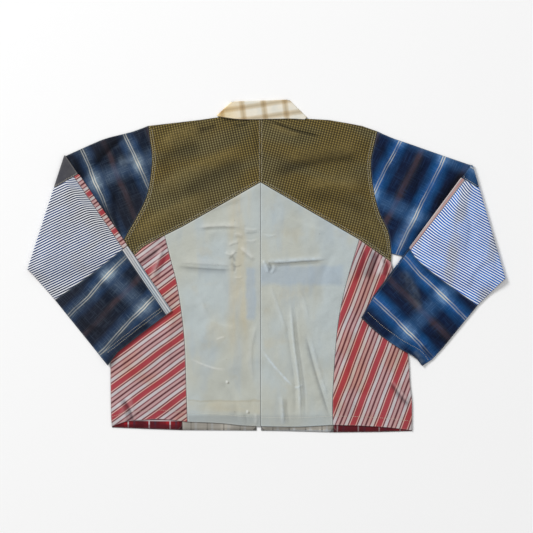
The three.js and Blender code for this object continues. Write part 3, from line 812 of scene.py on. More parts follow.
def shell(points, faces, thickness):
    """A closed wall round a sheet, with a rounded edge."""
    normals = vertex_normals(points, faces)
    rim = rim_of(faces)
    starts = rim[:, 0]
    count = len(points)
    upper = points + normals * thickness / 2
    lower = points - normals * thickness / 2
    way = points[rim[:, 1]] - points[starts]
    out = np.zeros_like(points)
    np.add.at(out, rim[:, 0], np.cross(way, normals[starts]))
    np.add.at(out, rim[:, 1], np.cross(way, normals[rim[:, 1]]))
    out = out[starts] / np.maximum(np.linalg.norm(out[starts], axis=1), 1e-9)[:, None]
    middle = points[starts] + out * min(0.14, thickness / 6)
    place = {v: 2 * count + k for k, v in enumerate(starts.tolist())}
    ring = [(a, b, place[a], place[b]) for a, b in rim.tolist()]
    quads = [(a, m, n, b) for a, b, m, n in ring] + [(m, count + a, count + b, n) for a, b, m, n in ring]
    tris = faces.tolist() + (count + faces[:, ::-1]).tolist()
    return np.vstack([upper, lower, middle]), tris + quads, starts


def cloth_piece(name, spacing, material, slot, held, rests_on):
    cut = CUTS[name]
    region = region_of(name)
    creases = []
    if region and not cut.rolls and spacing < CLOSE:
        creases = [crease.path for crease in CREASES[region]]
    flat, faces = filled(cut.loop, spacing, cut.rolls, cut.z, creases)
    points, pale, dark = lying(name, flat)
    solid, polygons, starts = shell(points, faces, CLOTH)
    mesh = bpy.data.meshes.new(name + "_cloth")
    mesh.from_pydata((solid * MM).tolist(), [], polygons)
    mesh.shade_smooth()
    axes = cloth_axes(name, flat)
    edge = np.minimum(cut.from_edge(flat), EDGE_KNOWN)
    order = np.concatenate([np.arange(len(flat)), np.arange(len(flat)), starts])
    # pale and dark carry the creases' painted highlight and painted shade; edge serves the seam wear and the
    # painted seam shade.
    for key, values in (("pale", pale), ("dark", dark), ("edge", edge)):
        mesh.attributes.new(key, "FLOAT", "POINT").data.foreach_set("value", values[order].astype(np.float32))
    loops = np.empty(len(mesh.loops), dtype=np.int32)
    mesh.loops.foreach_get("vertex_index", loops)
    uv = (axes[order][loops] * UV_SCALE).astype(np.float32)
    mesh.uv_layers.new(name="Cloth").data.foreach_set("uv", uv.ravel())
    obj = bpy.data.objects.new(name + "_cloth", mesh)
    bpy.context.collection.objects.link(obj)
    mesh.materials.append(material)
    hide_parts(name)
    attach(obj, "root")
    loop_area(cut.loop) * MM * MM
    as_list(rests_on)
    return obj



# ---- Woven finishes -----------------------------------------------------------------------------------
def tone(red, green, blue):
    """A colour as a dyer reads it off a screen, 0 to 255, in the renderer's linear light."""
    def linear(c):
        c /= 255
        return c / 12.92 if c <= 0.04045 else ((c + 0.055) / 1.055) ** 2.4
    return linear(red), linear(green), linear(blue), 1.0



class Weave:
    """Builds one cloth's nodes: its colour from the cloth's own two directions, and its thread and wear."""

    def __init__(self, name, roughness=0.9):
        self.material = bpy.data.materials.new(FINISH + name)
        self.material.use_nodes = True
        self.tree = self.material.node_tree
        self.nodes, self.links = self.tree.nodes, self.tree.links
        self.shader = self.nodes["Principled BSDF"]
        self.shader.inputs["Specular IOR Level"].default_value = 0.12
        self.shader.inputs["Sheen Weight"].default_value = 0.02
        self.shader.inputs["Sheen Roughness"].default_value = 0.6
        self.roughness = roughness
        uv = self.nodes.new("ShaderNodeUVMap")
        uv.uv_map = "Cloth"
        scale = self.nodes.new("ShaderNodeVectorMath")
        scale.operation = "SCALE"
        scale.inputs["Scale"].default_value = 1 / UV_SCALE
        self.links.new(uv.outputs["UV"], scale.inputs[0])
        self.place = scale.outputs["Vector"]
        split = self.nodes.new("ShaderNodeSeparateXYZ")
        self.links.new(self.place, split.inputs[0])
        self.u, self.v = split.outputs["X"], split.outputs["Y"]

    def math(self, operation, *values, clamp=False):
        node = self.nodes.new("ShaderNodeMath")
        node.operation, node.use_clamp = operation, clamp
        for socket, value in zip(node.inputs, values):
            self.feed(socket, value)
        return node.outputs[0]

    def feed(self, socket, value):
        if isinstance(value, bpy.types.NodeSocket):
            self.links.new(value, socket)
        else:
            socket.default_value = value

    def mix(self, amount, low, high, blend="MIX"):
        node = self.nodes.new("ShaderNodeMix")
        node.data_type, node.blend_type = "RGBA", blend
        self.feed(node.inputs[0], amount)
        self.feed(node.inputs[6], low)
        self.feed(node.inputs[7], high)
        return node.outputs[2]

    def ramp(self, value, *stops):
        node = self.nodes.new("ShaderNodeValToRGB")
        bar = node.color_ramp
        while len(bar.elements) < len(stops):
            bar.elements.new(0.5)
        for element, (at, colour) in zip(bar.elements, stops):
            element.position, element.color = at, colour
        self.links.new(value, node.inputs[0])
        return node.outputs[0]

    def level(self, value, low, high, to_low=0.0, to_high=1.0):
        node = self.nodes.new("ShaderNodeMapRange")
        node.interpolation_type = "SMOOTHSTEP"
        for socket, number in zip(node.inputs, (value, low, high, to_low, to_high)):
            self.feed(socket, number)
        return node.outputs[0]

    def noise(self, size, detail=3.0, stretch=(1, 1), seed=0.0):
        """Cloudy variation: size is in millimetres, and stretch lengthens it along the cloth."""
        shift = self.nodes.new("ShaderNodeMapping")
        shift.inputs["Location"].default_value = (seed * 37.1, seed * 11.7, seed)
        shift.inputs["Scale"].default_value = (1 / (size * stretch[0]), 1 / (size * stretch[1]), 1)
        self.links.new(self.place, shift.inputs[0])
        node = self.nodes.new("ShaderNodeTexNoise")
        node.inputs["Scale"].default_value = 1.0
        node.inputs["Detail"].default_value = detail
        self.links.new(shift.outputs[0], node.inputs["Vector"])
        return node.outputs["Fac"]

    def part(self, value, repeat, shift=0.0):
        """Where a place falls within a repeat, from 0 to 1."""
        moved = self.math("ADD", value, shift) if shift else value
        return self.math("FRACT", self.math("DIVIDE", moved, repeat))

    def band(self, value, repeat, centre, half, soft):
        """1 inside a band that recurs every repeat, fading over soft."""
        at = self.math("ABSOLUTE", self.math("SUBTRACT", self.part(value, repeat, repeat / 2 - centre), 0.5))
        away = self.math("MULTIPLY", at, repeat)
        return self.level(away, half, half + soft, 1.0, 0.0)

    def once(self, value, centre, half, soft):
        away = self.math("ABSOLUTE", self.math("SUBTRACT", value, centre))
        return self.level(away, half, half + soft, 1.0, 0.0)

    def attribute(self, name):
        node = self.nodes.new("ShaderNodeAttribute")
        node.attribute_name = name
        return node.outputs["Fac"]

    def finished(self, colour, thread=0.62, paler=(0.86, 0.84, 0.80), wear=0.35, grime=0.12, fuzz=0.10,
                 depth=0.35, gloom=0.7):
        """Adds the thread, dirt and seam wear that every one of these cloths has, the fading and painted
        highlight on its creases, the painted shade in its creases and a painted shade line along its seams.
        """
        pale, dark, edge = (self.attribute(key) for key in ("pale", "dark", "edge"))
        speck = self.noise(1.3, 2, seed=3)
        cloud = self.noise(55, 4, seed=5)
        colour = self.mix(fuzz, colour, self.mix(speck, (0.25, 0.25, 0.25, 1), (0.95, 0.95, 0.95, 1)),
                          "OVERLAY")
        dirt = self.math("MULTIPLY", self.level(cloud, 0.45, 0.75), grime)
        colour = self.mix(dirt, colour, (0.30, 0.25, 0.17, 1), "MULTIPLY")
        rub = self.math("MULTIPLY", self.level(edge, 1.0, 3.2, 1.0, 0.0), self.level(speck, 0.35, 0.7))
        colour = self.mix(self.math("MULTIPLY", rub, wear), colour, (*paler, 1))
        # Along the creases (pale): fading of a worn fold, with a painted highlight, in the paler colour.
        fade = self.math("MULTIPLY", pale, self.level(self.noise(9, 3, seed=7), 0.25, 0.7, 0.35, 1.0))
        colour = self.mix(self.math("MULTIPLY", fade, 0.75), colour, (*paler, 1))
        # Painted shade in the creases (dark), as deep as gloom allows.
        shade = self.math("MULTIPLY", dark, gloom)
        colour = self.mix(shade, colour, (0.12, 0.13, 0.17, 1), "MULTIPLY")
        # Painted shade: a dark line right along every seam, where the cloths meet.
        seam = self.level(edge, 0.2, 1.1, 0.55, 0.0)
        colour = self.mix(seam, colour, (0.05, 0.05, 0.06, 1), "MULTIPLY")
        self.links.new(colour, self.shader.inputs["Base Color"])

        warp = self.math("SINE", self.math("MULTIPLY", self.u, 2 * math.pi / thread))
        weft = self.math("SINE", self.math("MULTIPLY", self.v, 2 * math.pi / thread))
        slub = self.noise(5, 3, (1, 6), seed=9)
        height = self.math("ADD", self.math("MULTIPLY", warp, weft), self.math("MULTIPLY", slub, 1.6))
        height = self.math("ADD", height, self.math("MULTIPLY", self.noise(9, 4, seed=2), 6.0))
        bump = self.nodes.new("ShaderNodeBump")
        bump.inputs["Strength"].default_value = depth
        bump.inputs["Distance"].default_value = 0.00016
        self.links.new(height, bump.inputs["Height"])
        self.links.new(bump.outputs[0], self.shader.inputs["Normal"])
        rough = self.level(self.noise(24, 3, seed=4), 0.3, 0.7, self.roughness - 0.07, self.roughness + 0.05)
        self.links.new(rough, self.shader.inputs["Roughness"])
        return self.material


def olive_check():
    """Houndstooth-fine check in olive and brown, with golden and greyed stretches."""
    w = Weave("olive_check")
    light = w.mix(w.level(w.noise(90, 2, (2.2, 0.8), 1), 0.38, 0.64), tone(139, 130, 88), tone(145, 127, 70))
    dark = w.mix(w.level(w.noise(120, 2, seed=2), 0.4, 0.65), tone(52, 44, 30), tone(66, 54, 34))
    ends = w.band(w.u, 5.7, 0, 1.05, 1.1)
    picks = w.band(w.v, 5.2, 0, 0.95, 1.0)
    both = w.math("MAXIMUM", ends, w.math("MULTIPLY", picks, 0.9))
    crossing = w.math("MULTIPLY", ends, picks)
    colour = w.mix(w.math("MULTIPLY", both, 0.84), light, dark)
    colour = w.mix(w.math("MULTIPLY", crossing, 0.6), colour, tone(34, 29, 22))
    # The paler colour is golden, for the seam wear and the painted highlight on the creases; gloom sets how
    # dark the painted crease shade goes.
    return w.finished(colour, paler=(0.27, 0.20, 0.07), wear=0.3, thread=0.7, grime=0.25, gloom=0.75)


def faded_blue(name, yellow_at, stain, shade_at, shade_ends, paler):
    """Washed-out indigo, nearly grey, with a yellowed band and a tide mark above the hem."""
    w = Weave(name, roughness=0.88)
    drift = w.level(w.noise(130, 3, (0.8, 1.8), 1), 0.38, 0.62)
    base = w.mix(drift, tone(186, 189, 180), tone(184, 193, 193))
    base = w.mix(w.math("MULTIPLY", w.level(w.noise(60, 3, (0.6, 2.4), 4), 0.5, 0.72), 0.45), base,
                 tone(170, 181, 188))
    yellow = w.once(w.u, yellow_at, 9, 26)
    yellow = w.math("MULTIPLY", yellow, w.level(w.v, -240, -120))
    yellow = w.math("MULTIPLY", yellow, w.level(w.noise(34, 3, (0.6, 3), 6), 0.3, 0.6, 0.3, 0.9))
    base = w.mix(w.math("MULTIPLY", yellow, 0.65), base, tone(196, 186, 158))
    # Painted shade: a bluish patch below the tucks, at shade_at, fading out over shade_ends across the cloth.
    (u_mid, u_half), (v_mid, v_half) = shade_at
    ripple = w.math("MULTIPLY", w.math("SUBTRACT", w.noise(36, 3, seed=13), 0.5), 22)
    across, up = w.math("ADD", w.u, ripple), w.math("ADD", w.v, ripple)
    shade = w.math("MULTIPLY", w.once(across, u_mid, u_half, shade_ends), w.once(up, v_mid, v_half, 14))
    base = w.mix(w.math("MULTIPLY", shade, 0.55), base, tone(160, 176, 192))
    waver = w.math("MULTIPLY", w.math("SUBTRACT", w.noise(40, 3, seed=8), 0.5), 16)
    level = w.math("ADD", w.v, waver)
    tide = w.math("MULTIPLY", w.once(level, -309, 6, 12), stain)
    tide = w.math("MULTIPLY", tide, w.level(w.noise(30, 3, (2, 1), 10), 0.3, 0.65, 0.35, 1.0))
    base = w.mix(tide, base, tone(200, 194, 172))
    rim = w.math("MULTIPLY", w.once(level, -296, 0.8, 2.5), stain)
    base = w.mix(w.math("MULTIPLY", rim, 0.35), base, tone(160, 148, 118))
    hem = w.level(w.v, -332, -324, HEM_DUST[name], 0.0)
    base = w.mix(hem, base, tone(154, 160, 160))
    blot = w.level(w.noise(75, 5, seed=12), 0.58, 0.68, 0.0, 0.3)
    base = w.mix(blot, base, tone(186, 180, 160))
    spot = w.level(w.noise(17, 2, seed=15), 0.73, 0.77, 0.0, 0.35)
    base = w.mix(spot, base, tone(120, 116, 104))
    for at_u, at_v in MARKS:
        mark = w.math("MULTIPLY", w.once(w.u, at_u, 0.8, 3.0), w.once(w.v, at_v, 0.8, 3.0))
        base = w.mix(w.math("MULTIPLY", mark, 0.6), base, tone(112, 108, 98))
        halo = w.math("MULTIPLY", w.once(w.u, at_u - 3.5, 1.0, 2.5), w.once(w.v, at_v + 3, 1.0, 3.5))
        base = w.mix(w.math("MULTIPLY", halo, 0.8), base, tone(226, 228, 222))
    return w.finished(base, paler=paler, wear=0.5, grime=0.12, fuzz=0.07, gloom=0.4)


def red_stripe():
    """Madder red, white, pink and maroon stripes, charted from the middle of the red to half a repeat."""
    w = Weave("red_stripe")
    red, cream, maroon, white = tone(164, 56, 66), tone(222, 184, 176), tone(98, 32, 44), tone(200, 197, 199)
    rose, pink, deep = tone(112, 48, 62), tone(194, 160, 160), tone(80, 28, 40)
    chart = ((0, red), (5.3, red), (6.1, cream), (7.0, cream), (8.2, maroon), (9.8, maroon), (11.2, white),
             (16.2, white), (17.7, rose), (18.9, rose), (20.4, pink), (24.2, pink), (25.8, deep), (27, deep))
    away = w.math("ABSOLUTE", w.math("SUBTRACT", w.part(w.v, RED_REPEAT, RED_REPEAT / 2), 0.5))
    stops = [(at / RED_REPEAT * 2, colour) for at, colour in chart]
    colour = w.ramp(w.math("MULTIPLY", away, 2), *stops)
    weft = w.band(w.u, 1.8, 0, 0.25, 0.5)
    colour = w.mix(w.math("MULTIPLY", weft, 0.22), colour, tone(170, 120, 122))
    rust = w.level(w.noise(120, 3, seed=3), 0.46, 0.66, 0.0, 0.55)
    colour = w.mix(rust, colour, tone(250, 214, 178), "MULTIPLY")
    return w.finished(colour, paler=(0.70, 0.58, 0.57), wear=0.25, grime=0.2)


def fine_stripe(name, blue, white, night, pitch, tint):
    """Blue and white pin stripes, the blue dyed unevenly and browned in broad slanting bands."""
    w = Weave(name)
    dye = w.level(w.noise(70, 3, (1.6, 0.8), 2), 0.36, 0.66)
    ink = w.mix(dye, blue, night)
    slant = w.math("ADD", w.u, w.math("MULTIPLY", w.v, 0.332))
    browned = w.math("MULTIPLY", w.band(slant, 91.0, 53, 5, 16), tint)
    browned = w.math("MULTIPLY", browned, w.level(w.noise(60, 2, seed=14), 0.35, 0.6))
    ink = w.mix(browned, ink, tone(70, 74, 88))
    ground = w.mix(w.math("MULTIPLY", browned, 0.35), white, tone(216, 208, 200))
    stripe = w.band(w.v, pitch, 0, pitch * 0.23, pitch * 0.12)
    colour = w.mix(stripe, ground, ink)
    return w.finished(colour, paler=(0.75, 0.76, 0.8), wear=0.25, grime=0.03, fuzz=0.05)


def shadow_plaid(name, navy, blue, haze, strand, bloom, cross_repeat, shade):
    """Indigo that pales towards doubled cream lines and cross bands, with a brown band between them."""
    w = Weave(name, roughness=0.86)
    sway = w.math("MULTIPLY", w.math("SUBTRACT", w.noise(70, 2, seed=1), 0.5), 9)
    v, u = w.math("ADD", w.v, sway), w.math("ADD", w.u, sway)
    brown, dusk = tone(66, 52, 56), tone(34, 34, 42)
    away = w.math("ABSOLUTE", w.math("SUBTRACT", w.part(v, PLAID_REPEAT, PLAID_REPEAT / 2), 0.5))
    colour = w.ramp(w.math("MULTIPLY", away, 2), (0, haze), (0.09, haze), (0.26, blue), (0.48, navy),
                    (0.74, navy), (0.86, dusk), (0.94, brown), (1, brown))
    depth = w.level(w.noise(46, 4, (1.7, 1), 2), 0.3, 0.7)
    colour = w.mix(w.math("MULTIPLY", depth, 0.6), colour, navy)
    across = w.math("ABSOLUTE", w.math("SUBTRACT", w.part(u, cross_repeat, cross_repeat / 2), 0.5))
    across = w.math("MULTIPLY", across, cross_repeat)
    cross = w.level(across, 3, 30, 1.0, 0.0)
    shadow = w.level(across, 30, 0.42 * cross_repeat, 0.0, shade)
    colour = w.mix(w.math("MULTIPLY", cross, 0.55), colour, blue)
    colour = w.mix(shadow, colour, dusk)
    near = w.level(away, 0.0, 0.20, 1.0, 0.0)
    picks, ends = w.noise(1.5, 2, (22, 1), 11), w.noise(1.5, 2, (1, 22), 12)
    hatch = w.math("MAXIMUM", w.level(picks, 0.5, 0.72), w.level(ends, 0.5, 0.72))
    patchy = w.level(w.noise(22, 3, seed=8), 0.3, 0.62, 0.35, 1.0)
    both = w.math("MULTIPLY", cross, w.math("ADD", w.math("MULTIPLY", near, 0.85), 0.15))
    glow = w.math("MULTIPLY", both, patchy)
    glow = w.math("MULTIPLY", glow, w.math("ADD", w.math("MULTIPLY", hatch, 0.7), 0.5), clamp=True)
    colour = w.mix(glow, colour, bloom)
    strands = w.math("MULTIPLY", hatch, w.math("ADD", w.math("MULTIPLY", near, 0.28), 0.10))
    colour = w.mix(strands, colour, strand)
    paler = w.level(w.noise(16, 3, (3, 1), 9), 0.3, 0.65, 0.12, 0.5)
    lit = w.math("ADD", w.math("MULTIPLY", cross, 0.6), paler)
    lines = w.math("MAXIMUM", w.band(v, PLAID_REPEAT, -2.5, 0.6, 1.0), w.band(v, PLAID_REPEAT, 2.5, 0.6, 1.0))
    colour = w.mix(w.math("MULTIPLY", lines, lit, clamp=True), colour, tone(206, 204, 192))
    return w.finished(colour, paler=(0.30, 0.38, 0.46), wear=0.22, grime=0.0, fuzz=0.16, gloom=0.85)


def windowpane():
    """Ivory cotton with a tan and brown windowpane."""
    w = Weave("ivory_check")
    colour = w.mix(w.level(w.noise(30, 3, seed=1), 0.4, 0.65), tone(236, 232, 220), tone(226, 226, 218))
    aged = w.level(w.u, -75, 20, 1.0, 0.15)
    colour = w.mix(aged, colour, tone(250, 226, 176), "MULTIPLY")
    bands = ((w.u, 47.0, -4.0, 3.0), (w.v, 27.0, 2.0, 2.5))
    for value, repeat, centre, half in bands:
        colour = w.mix(w.math("MULTIPLY", w.band(value, repeat, centre, half, 6.0), 0.6), colour,
                       tone(206, 184, 146), "MULTIPLY")
        colour = w.mix(w.math("MULTIPLY", w.band(value, repeat, centre, 0.6, 2.2), 0.22), colour,
                       tone(128, 112, 90))
    return w.finished(colour, paler=(0.85, 0.84, 0.8), wear=0.2, grime=0.1)


def plain_cloth(name, colour, other):
    """One colour that clouds into another."""
    w = Weave(name)
    mixed = w.mix(w.level(w.noise(30.0, 4, seed=1), 0.35, 0.65), colour, other)
    return w.finished(mixed, thread=0.6, wear=0.2)


def pale_stripe(name, ground, line, accent):
    """White and grey stripe along the cloth, with an accent line in every other repeat."""
    w = Weave(name)
    colour = w.mix(w.band(w.v, 5.2, 0, 0.7, 0.9), ground, line)
    colour = w.mix(w.math("MULTIPLY", w.band(w.v, 10.4, 2.6, 0.6, 0.8), 0.8), colour, accent)
    colour = w.mix(w.level(w.noise(20, 3, (5, 1), 3), 0.4, 0.7, 0.0, 0.4), colour, tone(206, 196, 190))
    return w.finished(colour, paler=(0.80, 0.79, 0.77), wear=0.2)


def simple_plaid(name, repeat, ground, bar, line, accent):
    """A plain plaid of broad bars, thin lines and accent lines."""
    w = Weave(name)
    colour = w.mix(w.level(w.noise(50, 3, seed=1), 0.4, 0.6), ground, bar)
    for value, shift in ((w.u, 0.0), (w.v, 0.23 * repeat)):
        bars = w.band(value, repeat, shift, 0.17 * repeat, 2.0)
        lines = w.band(value, repeat, shift + 0.39 * repeat, 1.1, 0.8)
        accents = w.band(value, repeat, shift - 0.32 * repeat, 2.0, 1.0)
        colour = w.mix(w.math("MULTIPLY", bars, 0.6), colour, bar)
        colour = w.mix(w.math("MULTIPLY", lines, 0.8), colour, line)
        colour = w.mix(w.math("MULTIPLY", accents, 0.55), colour, accent)
    return w.finished(colour, wear=0.15)


def thread_finish(name, colour):
    """Sewing thread, a little darker here and there."""
    w = Weave(name, roughness=0.7)
    darker = (*(0.8 * c for c in colour[:3]), 1)
    w.links.new(w.mix(w.noise(3.0, 2), colour, darker), w.shader.inputs["Base Color"])
    w.shader.inputs["Roughness"].default_value = 0.75
    return w.material


# ---- Stitching ----------------------------------------------------------------------------------------
def seam_rows(name, seam, inset, within=4.0):
    """Stretches of a cloth's edge, set in from it, that lie along a seam."""
    cut = CUTS[name]
    loop = resampled(cut.loop, 3.0)
    row = drawn_in(loop, inset)
    lies = cut.place(loop)[:, :2]
    good = distance_to([seam], lies) < within
    good &= inside(cut.loop, row) & (cut.from_edge(row) > inset - 0.4)
    if good.all():
        return [closed(row)]
    first = int(np.argmin(good))
    return stretches(np.roll(row, -first, axis=0), np.roll(good, -first))


def stretches(row, good):
    """The runs of a row whose points are all good."""
    marks = np.flatnonzero(np.diff(np.concatenate([[0], good.astype(int), [0]])))
    return [row[a:b] for a, b in zip(marks[::2], marks[1::2]) if b - a > 3]


def hem_rows(name, hem, inset):
    """A row of stitching right across a cloth, at one distance from its hem."""
    cut = CUTS[name]
    loop = resampled(cut.loop, 3.0)
    on = distance_to([hem], cut.place(loop)[:, :2]) < 1.0
    first = int(np.argmin(on))
    edge = np.roll(loop, -first, axis=0)[np.roll(on, -first)]
    row, way = along_path(edge, 3.0, inset)
    reach = np.linspace(0, 1.5 * inset, 10)[1:, None]
    row = np.vstack([(row[0] - way[0] * reach)[::-1], row, row[-1] + way[-1] * reach])
    return stretches(row, inside(drawn_in(loop, 1.5), row))


def stitch_row(name, rows, sizes, seed):
    """Running stitches along rows on a cloth: each one surfaces, arches over it and dives again."""
    draw = np.random.default_rng(seed)
    length, gap, width = sizes.stitch_length / MM, sizes.stitch_gap / MM, sizes.thread_width / MM
    verts, faces = [], []
    for row in rows:
        middle, way = along_path(row, length + gap)
        count = len(middle)
        if not count:
            continue
        long = length * draw.uniform(0.8, 1.12, count)
        side = np.column_stack([-way[:, 1], way[:, 0]])
        middle = middle + side * draw.normal(0, 0.14, count)[:, None]
        way = way + side * draw.normal(0, 0.06, count)[:, None]
        stations = []
        for share, lift in ((-0.5, -0.25), (-0.3, 0.16), (0.3, 0.16), (0.5, -0.25)):
            at = middle + way * (long * share)[:, None]
            point = lying(name, at)[0]
            point[:, 2] += CLOTH / 2 + lift
            stations.append(point)
        along = stations[2] - stations[1]
        along /= np.maximum(np.linalg.norm(along, axis=1), 1e-9)[:, None]
        across = np.cross(along, (0, 0, 1))
        across /= np.maximum(np.linalg.norm(across, axis=1), 1e-9)[:, None]
        up = np.cross(across, along)
        for k in range(count):
            base = len(verts)
            verts.append(stations[0][k])
            for station in (1, 2):
                for turn in range(6):
                    angle = turn * math.pi / 3
                    spoke = across[k] * math.cos(angle) + up[k] * math.sin(angle) * 0.7
                    verts.append(stations[station][k] + spoke * width / 2)
            verts.append(stations[3][k])
            for turn in range(6):
                a, b = base + 1 + turn, base + 1 + (turn + 1) % 6
                faces += [(base, a, b), (a, a + 6, b + 6, b), (base + 13, b + 6, a + 6)]
    return verts, faces


def stitching(name, cloths, material, sizes):
    """One object for all the running stitches of one thread. cloths lists (cloth, rows)."""
    verts, faces = [], []
    for seed, (cloth, rows) in enumerate(cloths):
        more, sides = stitch_row(cloth, rows, sizes, seed + 100)
        faces += [tuple(i + len(verts) for i in side) for side in sides]
        verts += more
    mesh = bpy.data.meshes.new(name)
    mesh.from_pydata([tuple(v * MM) for v in verts], [], faces)
    mesh.shade_smooth()
    flat_map = mesh.uv_layers.new(name="Cloth")
    loops = np.empty(len(mesh.loops), dtype=np.int32)
    mesh.loops.foreach_get("vertex_index", loops)
    places = np.array(verts)[loops][:, :2] * UV_SCALE
    flat_map.data.foreach_set("uv", places.astype(np.float32).ravel())
    mesh.materials.append(material)
    obj = bpy.data.objects.new(name, mesh)
    bpy.context.collection.objects.link(obj)
    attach(obj, "root")
    return obj


# ---- Settings -----------------------------------------------------------------------------------------
def colour_setting(name, description, default):
    return bpy.props.FloatVectorProperty(name=name, description=description, subtype="COLOR", size=4, min=0,
                                         max=1, default=default)


def length_setting(name, description, default, low, high):
    return bpy.props.FloatProperty(name=name, description=description, default=default, min=low, max=high,
                                   subtype="DISTANCE", unit="LENGTH")


class JacketSizes(bpy.types.PropertyGroup):
    """Sizes that a user would change."""
    fine: length_setting("Detail of the cloths on top", "Spacing of points on the cloths that show", 0.003,
                         0.002, 0.02)
    medium: length_setting("Detail of half-hidden cloths", "Spacing of points on cloths that show in part",
                           0.004, 0.002, 0.02)
    coarse: length_setting("Detail of the cloths beneath", "Spacing of points on cloths that are covered",
                           0.009, 0.003, 0.03)
    stitch_length: length_setting("Stitch", "Length of one running stitch", 0.0030, 0.001, 0.02)
    stitch_gap: length_setting("Stitch gap", "Space between two stitches", 0.0012, 0.0005, 0.02)
    thread_width: length_setting("Thread", "Width of the sewing thread", 0.0008, 0.0002, 0.003)


class JacketColours(bpy.types.PropertyGroup):
    """Colours that a user would change."""
    thread: colour_setting("Light thread", "Colour of the light sewing thread", tone(206, 200, 180))
    grey_thread: colour_setting("Grey thread", "Colour of the thread on the faded back", tone(228, 226, 214))
    navy: colour_setting("Left sleeve's indigo", "Deepest blue of the left sleeve's plaid", tone(15, 25, 42))
    blue: colour_setting("Left sleeve's blue", "Lighter blue of the left sleeve's plaid", tone(36, 62, 96))
    bright_navy: colour_setting("Right sleeve's indigo", "Deepest blue of the right sleeve's plaid",
                                tone(4, 20, 50))
    bright_blue: colour_setting("Right sleeve's blue", "Lighter blue of the right sleeve's plaid",
                                tone(8, 68, 118))
    stripe: colour_setting("Left fine stripe", "Blue of the left sleeve's fine stripe", tone(24, 58, 112))
    bright_stripe: colour_setting("Right fine stripe", "Blue of the right sleeve's fine stripe",
                                  tone(0, 102, 196))
    charcoal: colour_setting("Charcoal", "Colour of the plain dark triangle", tone(84, 83, 86))
    floor: colour_setting("Floor", "Colour of the floor", (0.97, 0.97, 0.97, 1))


def made(name, maker, *details):
    """A finish, made the first time that it is wanted."""
    return bpy.data.materials.get(FINISH + name) or maker(*details)


def plaid_finishes(colours):
    """The indigo plaids of the two sleeves."""
    left = ("blue_plaid", tuple(colours.navy), tuple(colours.blue), tone(62, 82, 106), tone(120, 140, 160),
            tone(160, 178, 190), 190.0, 0.45)
    right = ("bright_blue_plaid", tuple(colours.bright_navy), tuple(colours.bright_blue), tone(34, 88, 150),
             tone(78, 124, 184), tone(136, 172, 212), 150.0, 0.12)
    return {"left": made("blue_plaid", shadow_plaid, *left),
            "right": made("bright_blue_plaid", shadow_plaid, *right)}


# ---- Operators ----------------------------------------------------------------------------------------
class ClothOperator:
    """What the operators for cloths share."""
    bl_options = {"REGISTER", "UNDO"}

    def cut_out(self, context, name, detail, material, slot, held, rests_on):
        spacing = getattr(context.scene.jacket_sizes, detail) / MM
        return cloth_piece(name, spacing, material, slot, held, rests_on)


class JACKET_OT_yoke(ClothOperator, bpy.types.Operator):
    """Lay the two olive halves of the pointed yoke across the shoulders"""
    bl_idname = "jacket.yoke"
    bl_label = "Yoke"

    def execute(self, context):
        for side in ("left", "right"):
            self.cut_out(context, f"yoke_{side}", "fine", made("olive_check", olive_check), "olive_check",
                         "laid", [f"front_{side}", f"front_side_{side}"])
        return {"FINISHED"}


class JACKET_OT_centre_back(ClothOperator, bpy.types.Operator):
    """Lay the two faded panels of the centre back"""
    bl_idname = "jacket.centre_back"
    bl_label = "Centre back"

    def execute(self, context):
        # For each side: the name, where the yellowed band runs, how strong the tide mark is, where the bluish
        # patch of painted shade lies and its fade, and the paler colour of the seam wear and the painted
        # crease highlights.
        left = ("faded_blue_left", -61, 0.7, ((-34, 6), (-60, 50)), 9, (0.74, 0.74, 0.70))
        right = ("faded_blue_right", 400, 0.1, ((74, 84), (-20, 14)), 22, (0.62, 0.71, 0.77))
        for side, details in (("left", left), ("right", right)):
            finish = made(details[0], faded_blue, *details)
            self.cut_out(context, f"back_{side}", "fine", finish, "faded_blue", "laid",
                         [f"front_{side}", f"front_side_{side}"])
        return {"FINISHED"}


class JACKET_OT_side_backs(ClothOperator, bpy.types.Operator):
    """Lay the red striped sides of the back"""
    bl_idname = "jacket.side_backs"
    bl_label = "Striped sides"

    def execute(self, context):
        for side in ("left", "right"):
            self.cut_out(context, f"back_side_{side}", "fine", made("red_stripe", red_stripe), "red_stripe",
                         "laid", [f"front_side_{side}"])
        return {"FINISHED"}


class JACKET_OT_fronts(ClothOperator, bpy.types.Operator):
    """Lay the fronts, which are underneath"""
    bl_idname = "jacket.fronts"
    bl_label = "Fronts"

    def execute(self, context):
        beige = ("beige_plaid", 36.0, tone(206, 200, 188), tone(150, 146, 138), tone(80, 74, 72),
                 tone(186, 192, 198))
        red = ("red_plaid", 46.0, tone(158, 34, 42), tone(88, 26, 34), tone(196, 188, 190), tone(54, 50, 66))
        for side in ("left", "right"):
            for name, details in ((f"front_{side}", beige), (f"front_side_{side}", red)):
                finish = made(details[0], simple_plaid, *details)
                self.cut_out(context, name, "coarse", finish, details[0], "laid", [])
        return {"FINISHED"}


class JACKET_OT_collar(ClothOperator, bpy.types.Operator):
    """Fold the ivory collar down over its stand"""
    bl_idname = "jacket.collar"
    bl_label = "Collar"

    def execute(self, context):
        ivory = made("ivory_check", windowpane)
        self.cut_out(context, "collar_fall", "fine", ivory, "ivory_check", "folded",
                     ["collar_stand", "yoke_left"])
        self.cut_out(context, "collar_stand", "coarse", ivory, "ivory_check", "laid", ["collar_fall"])
        return {"FINISHED"}


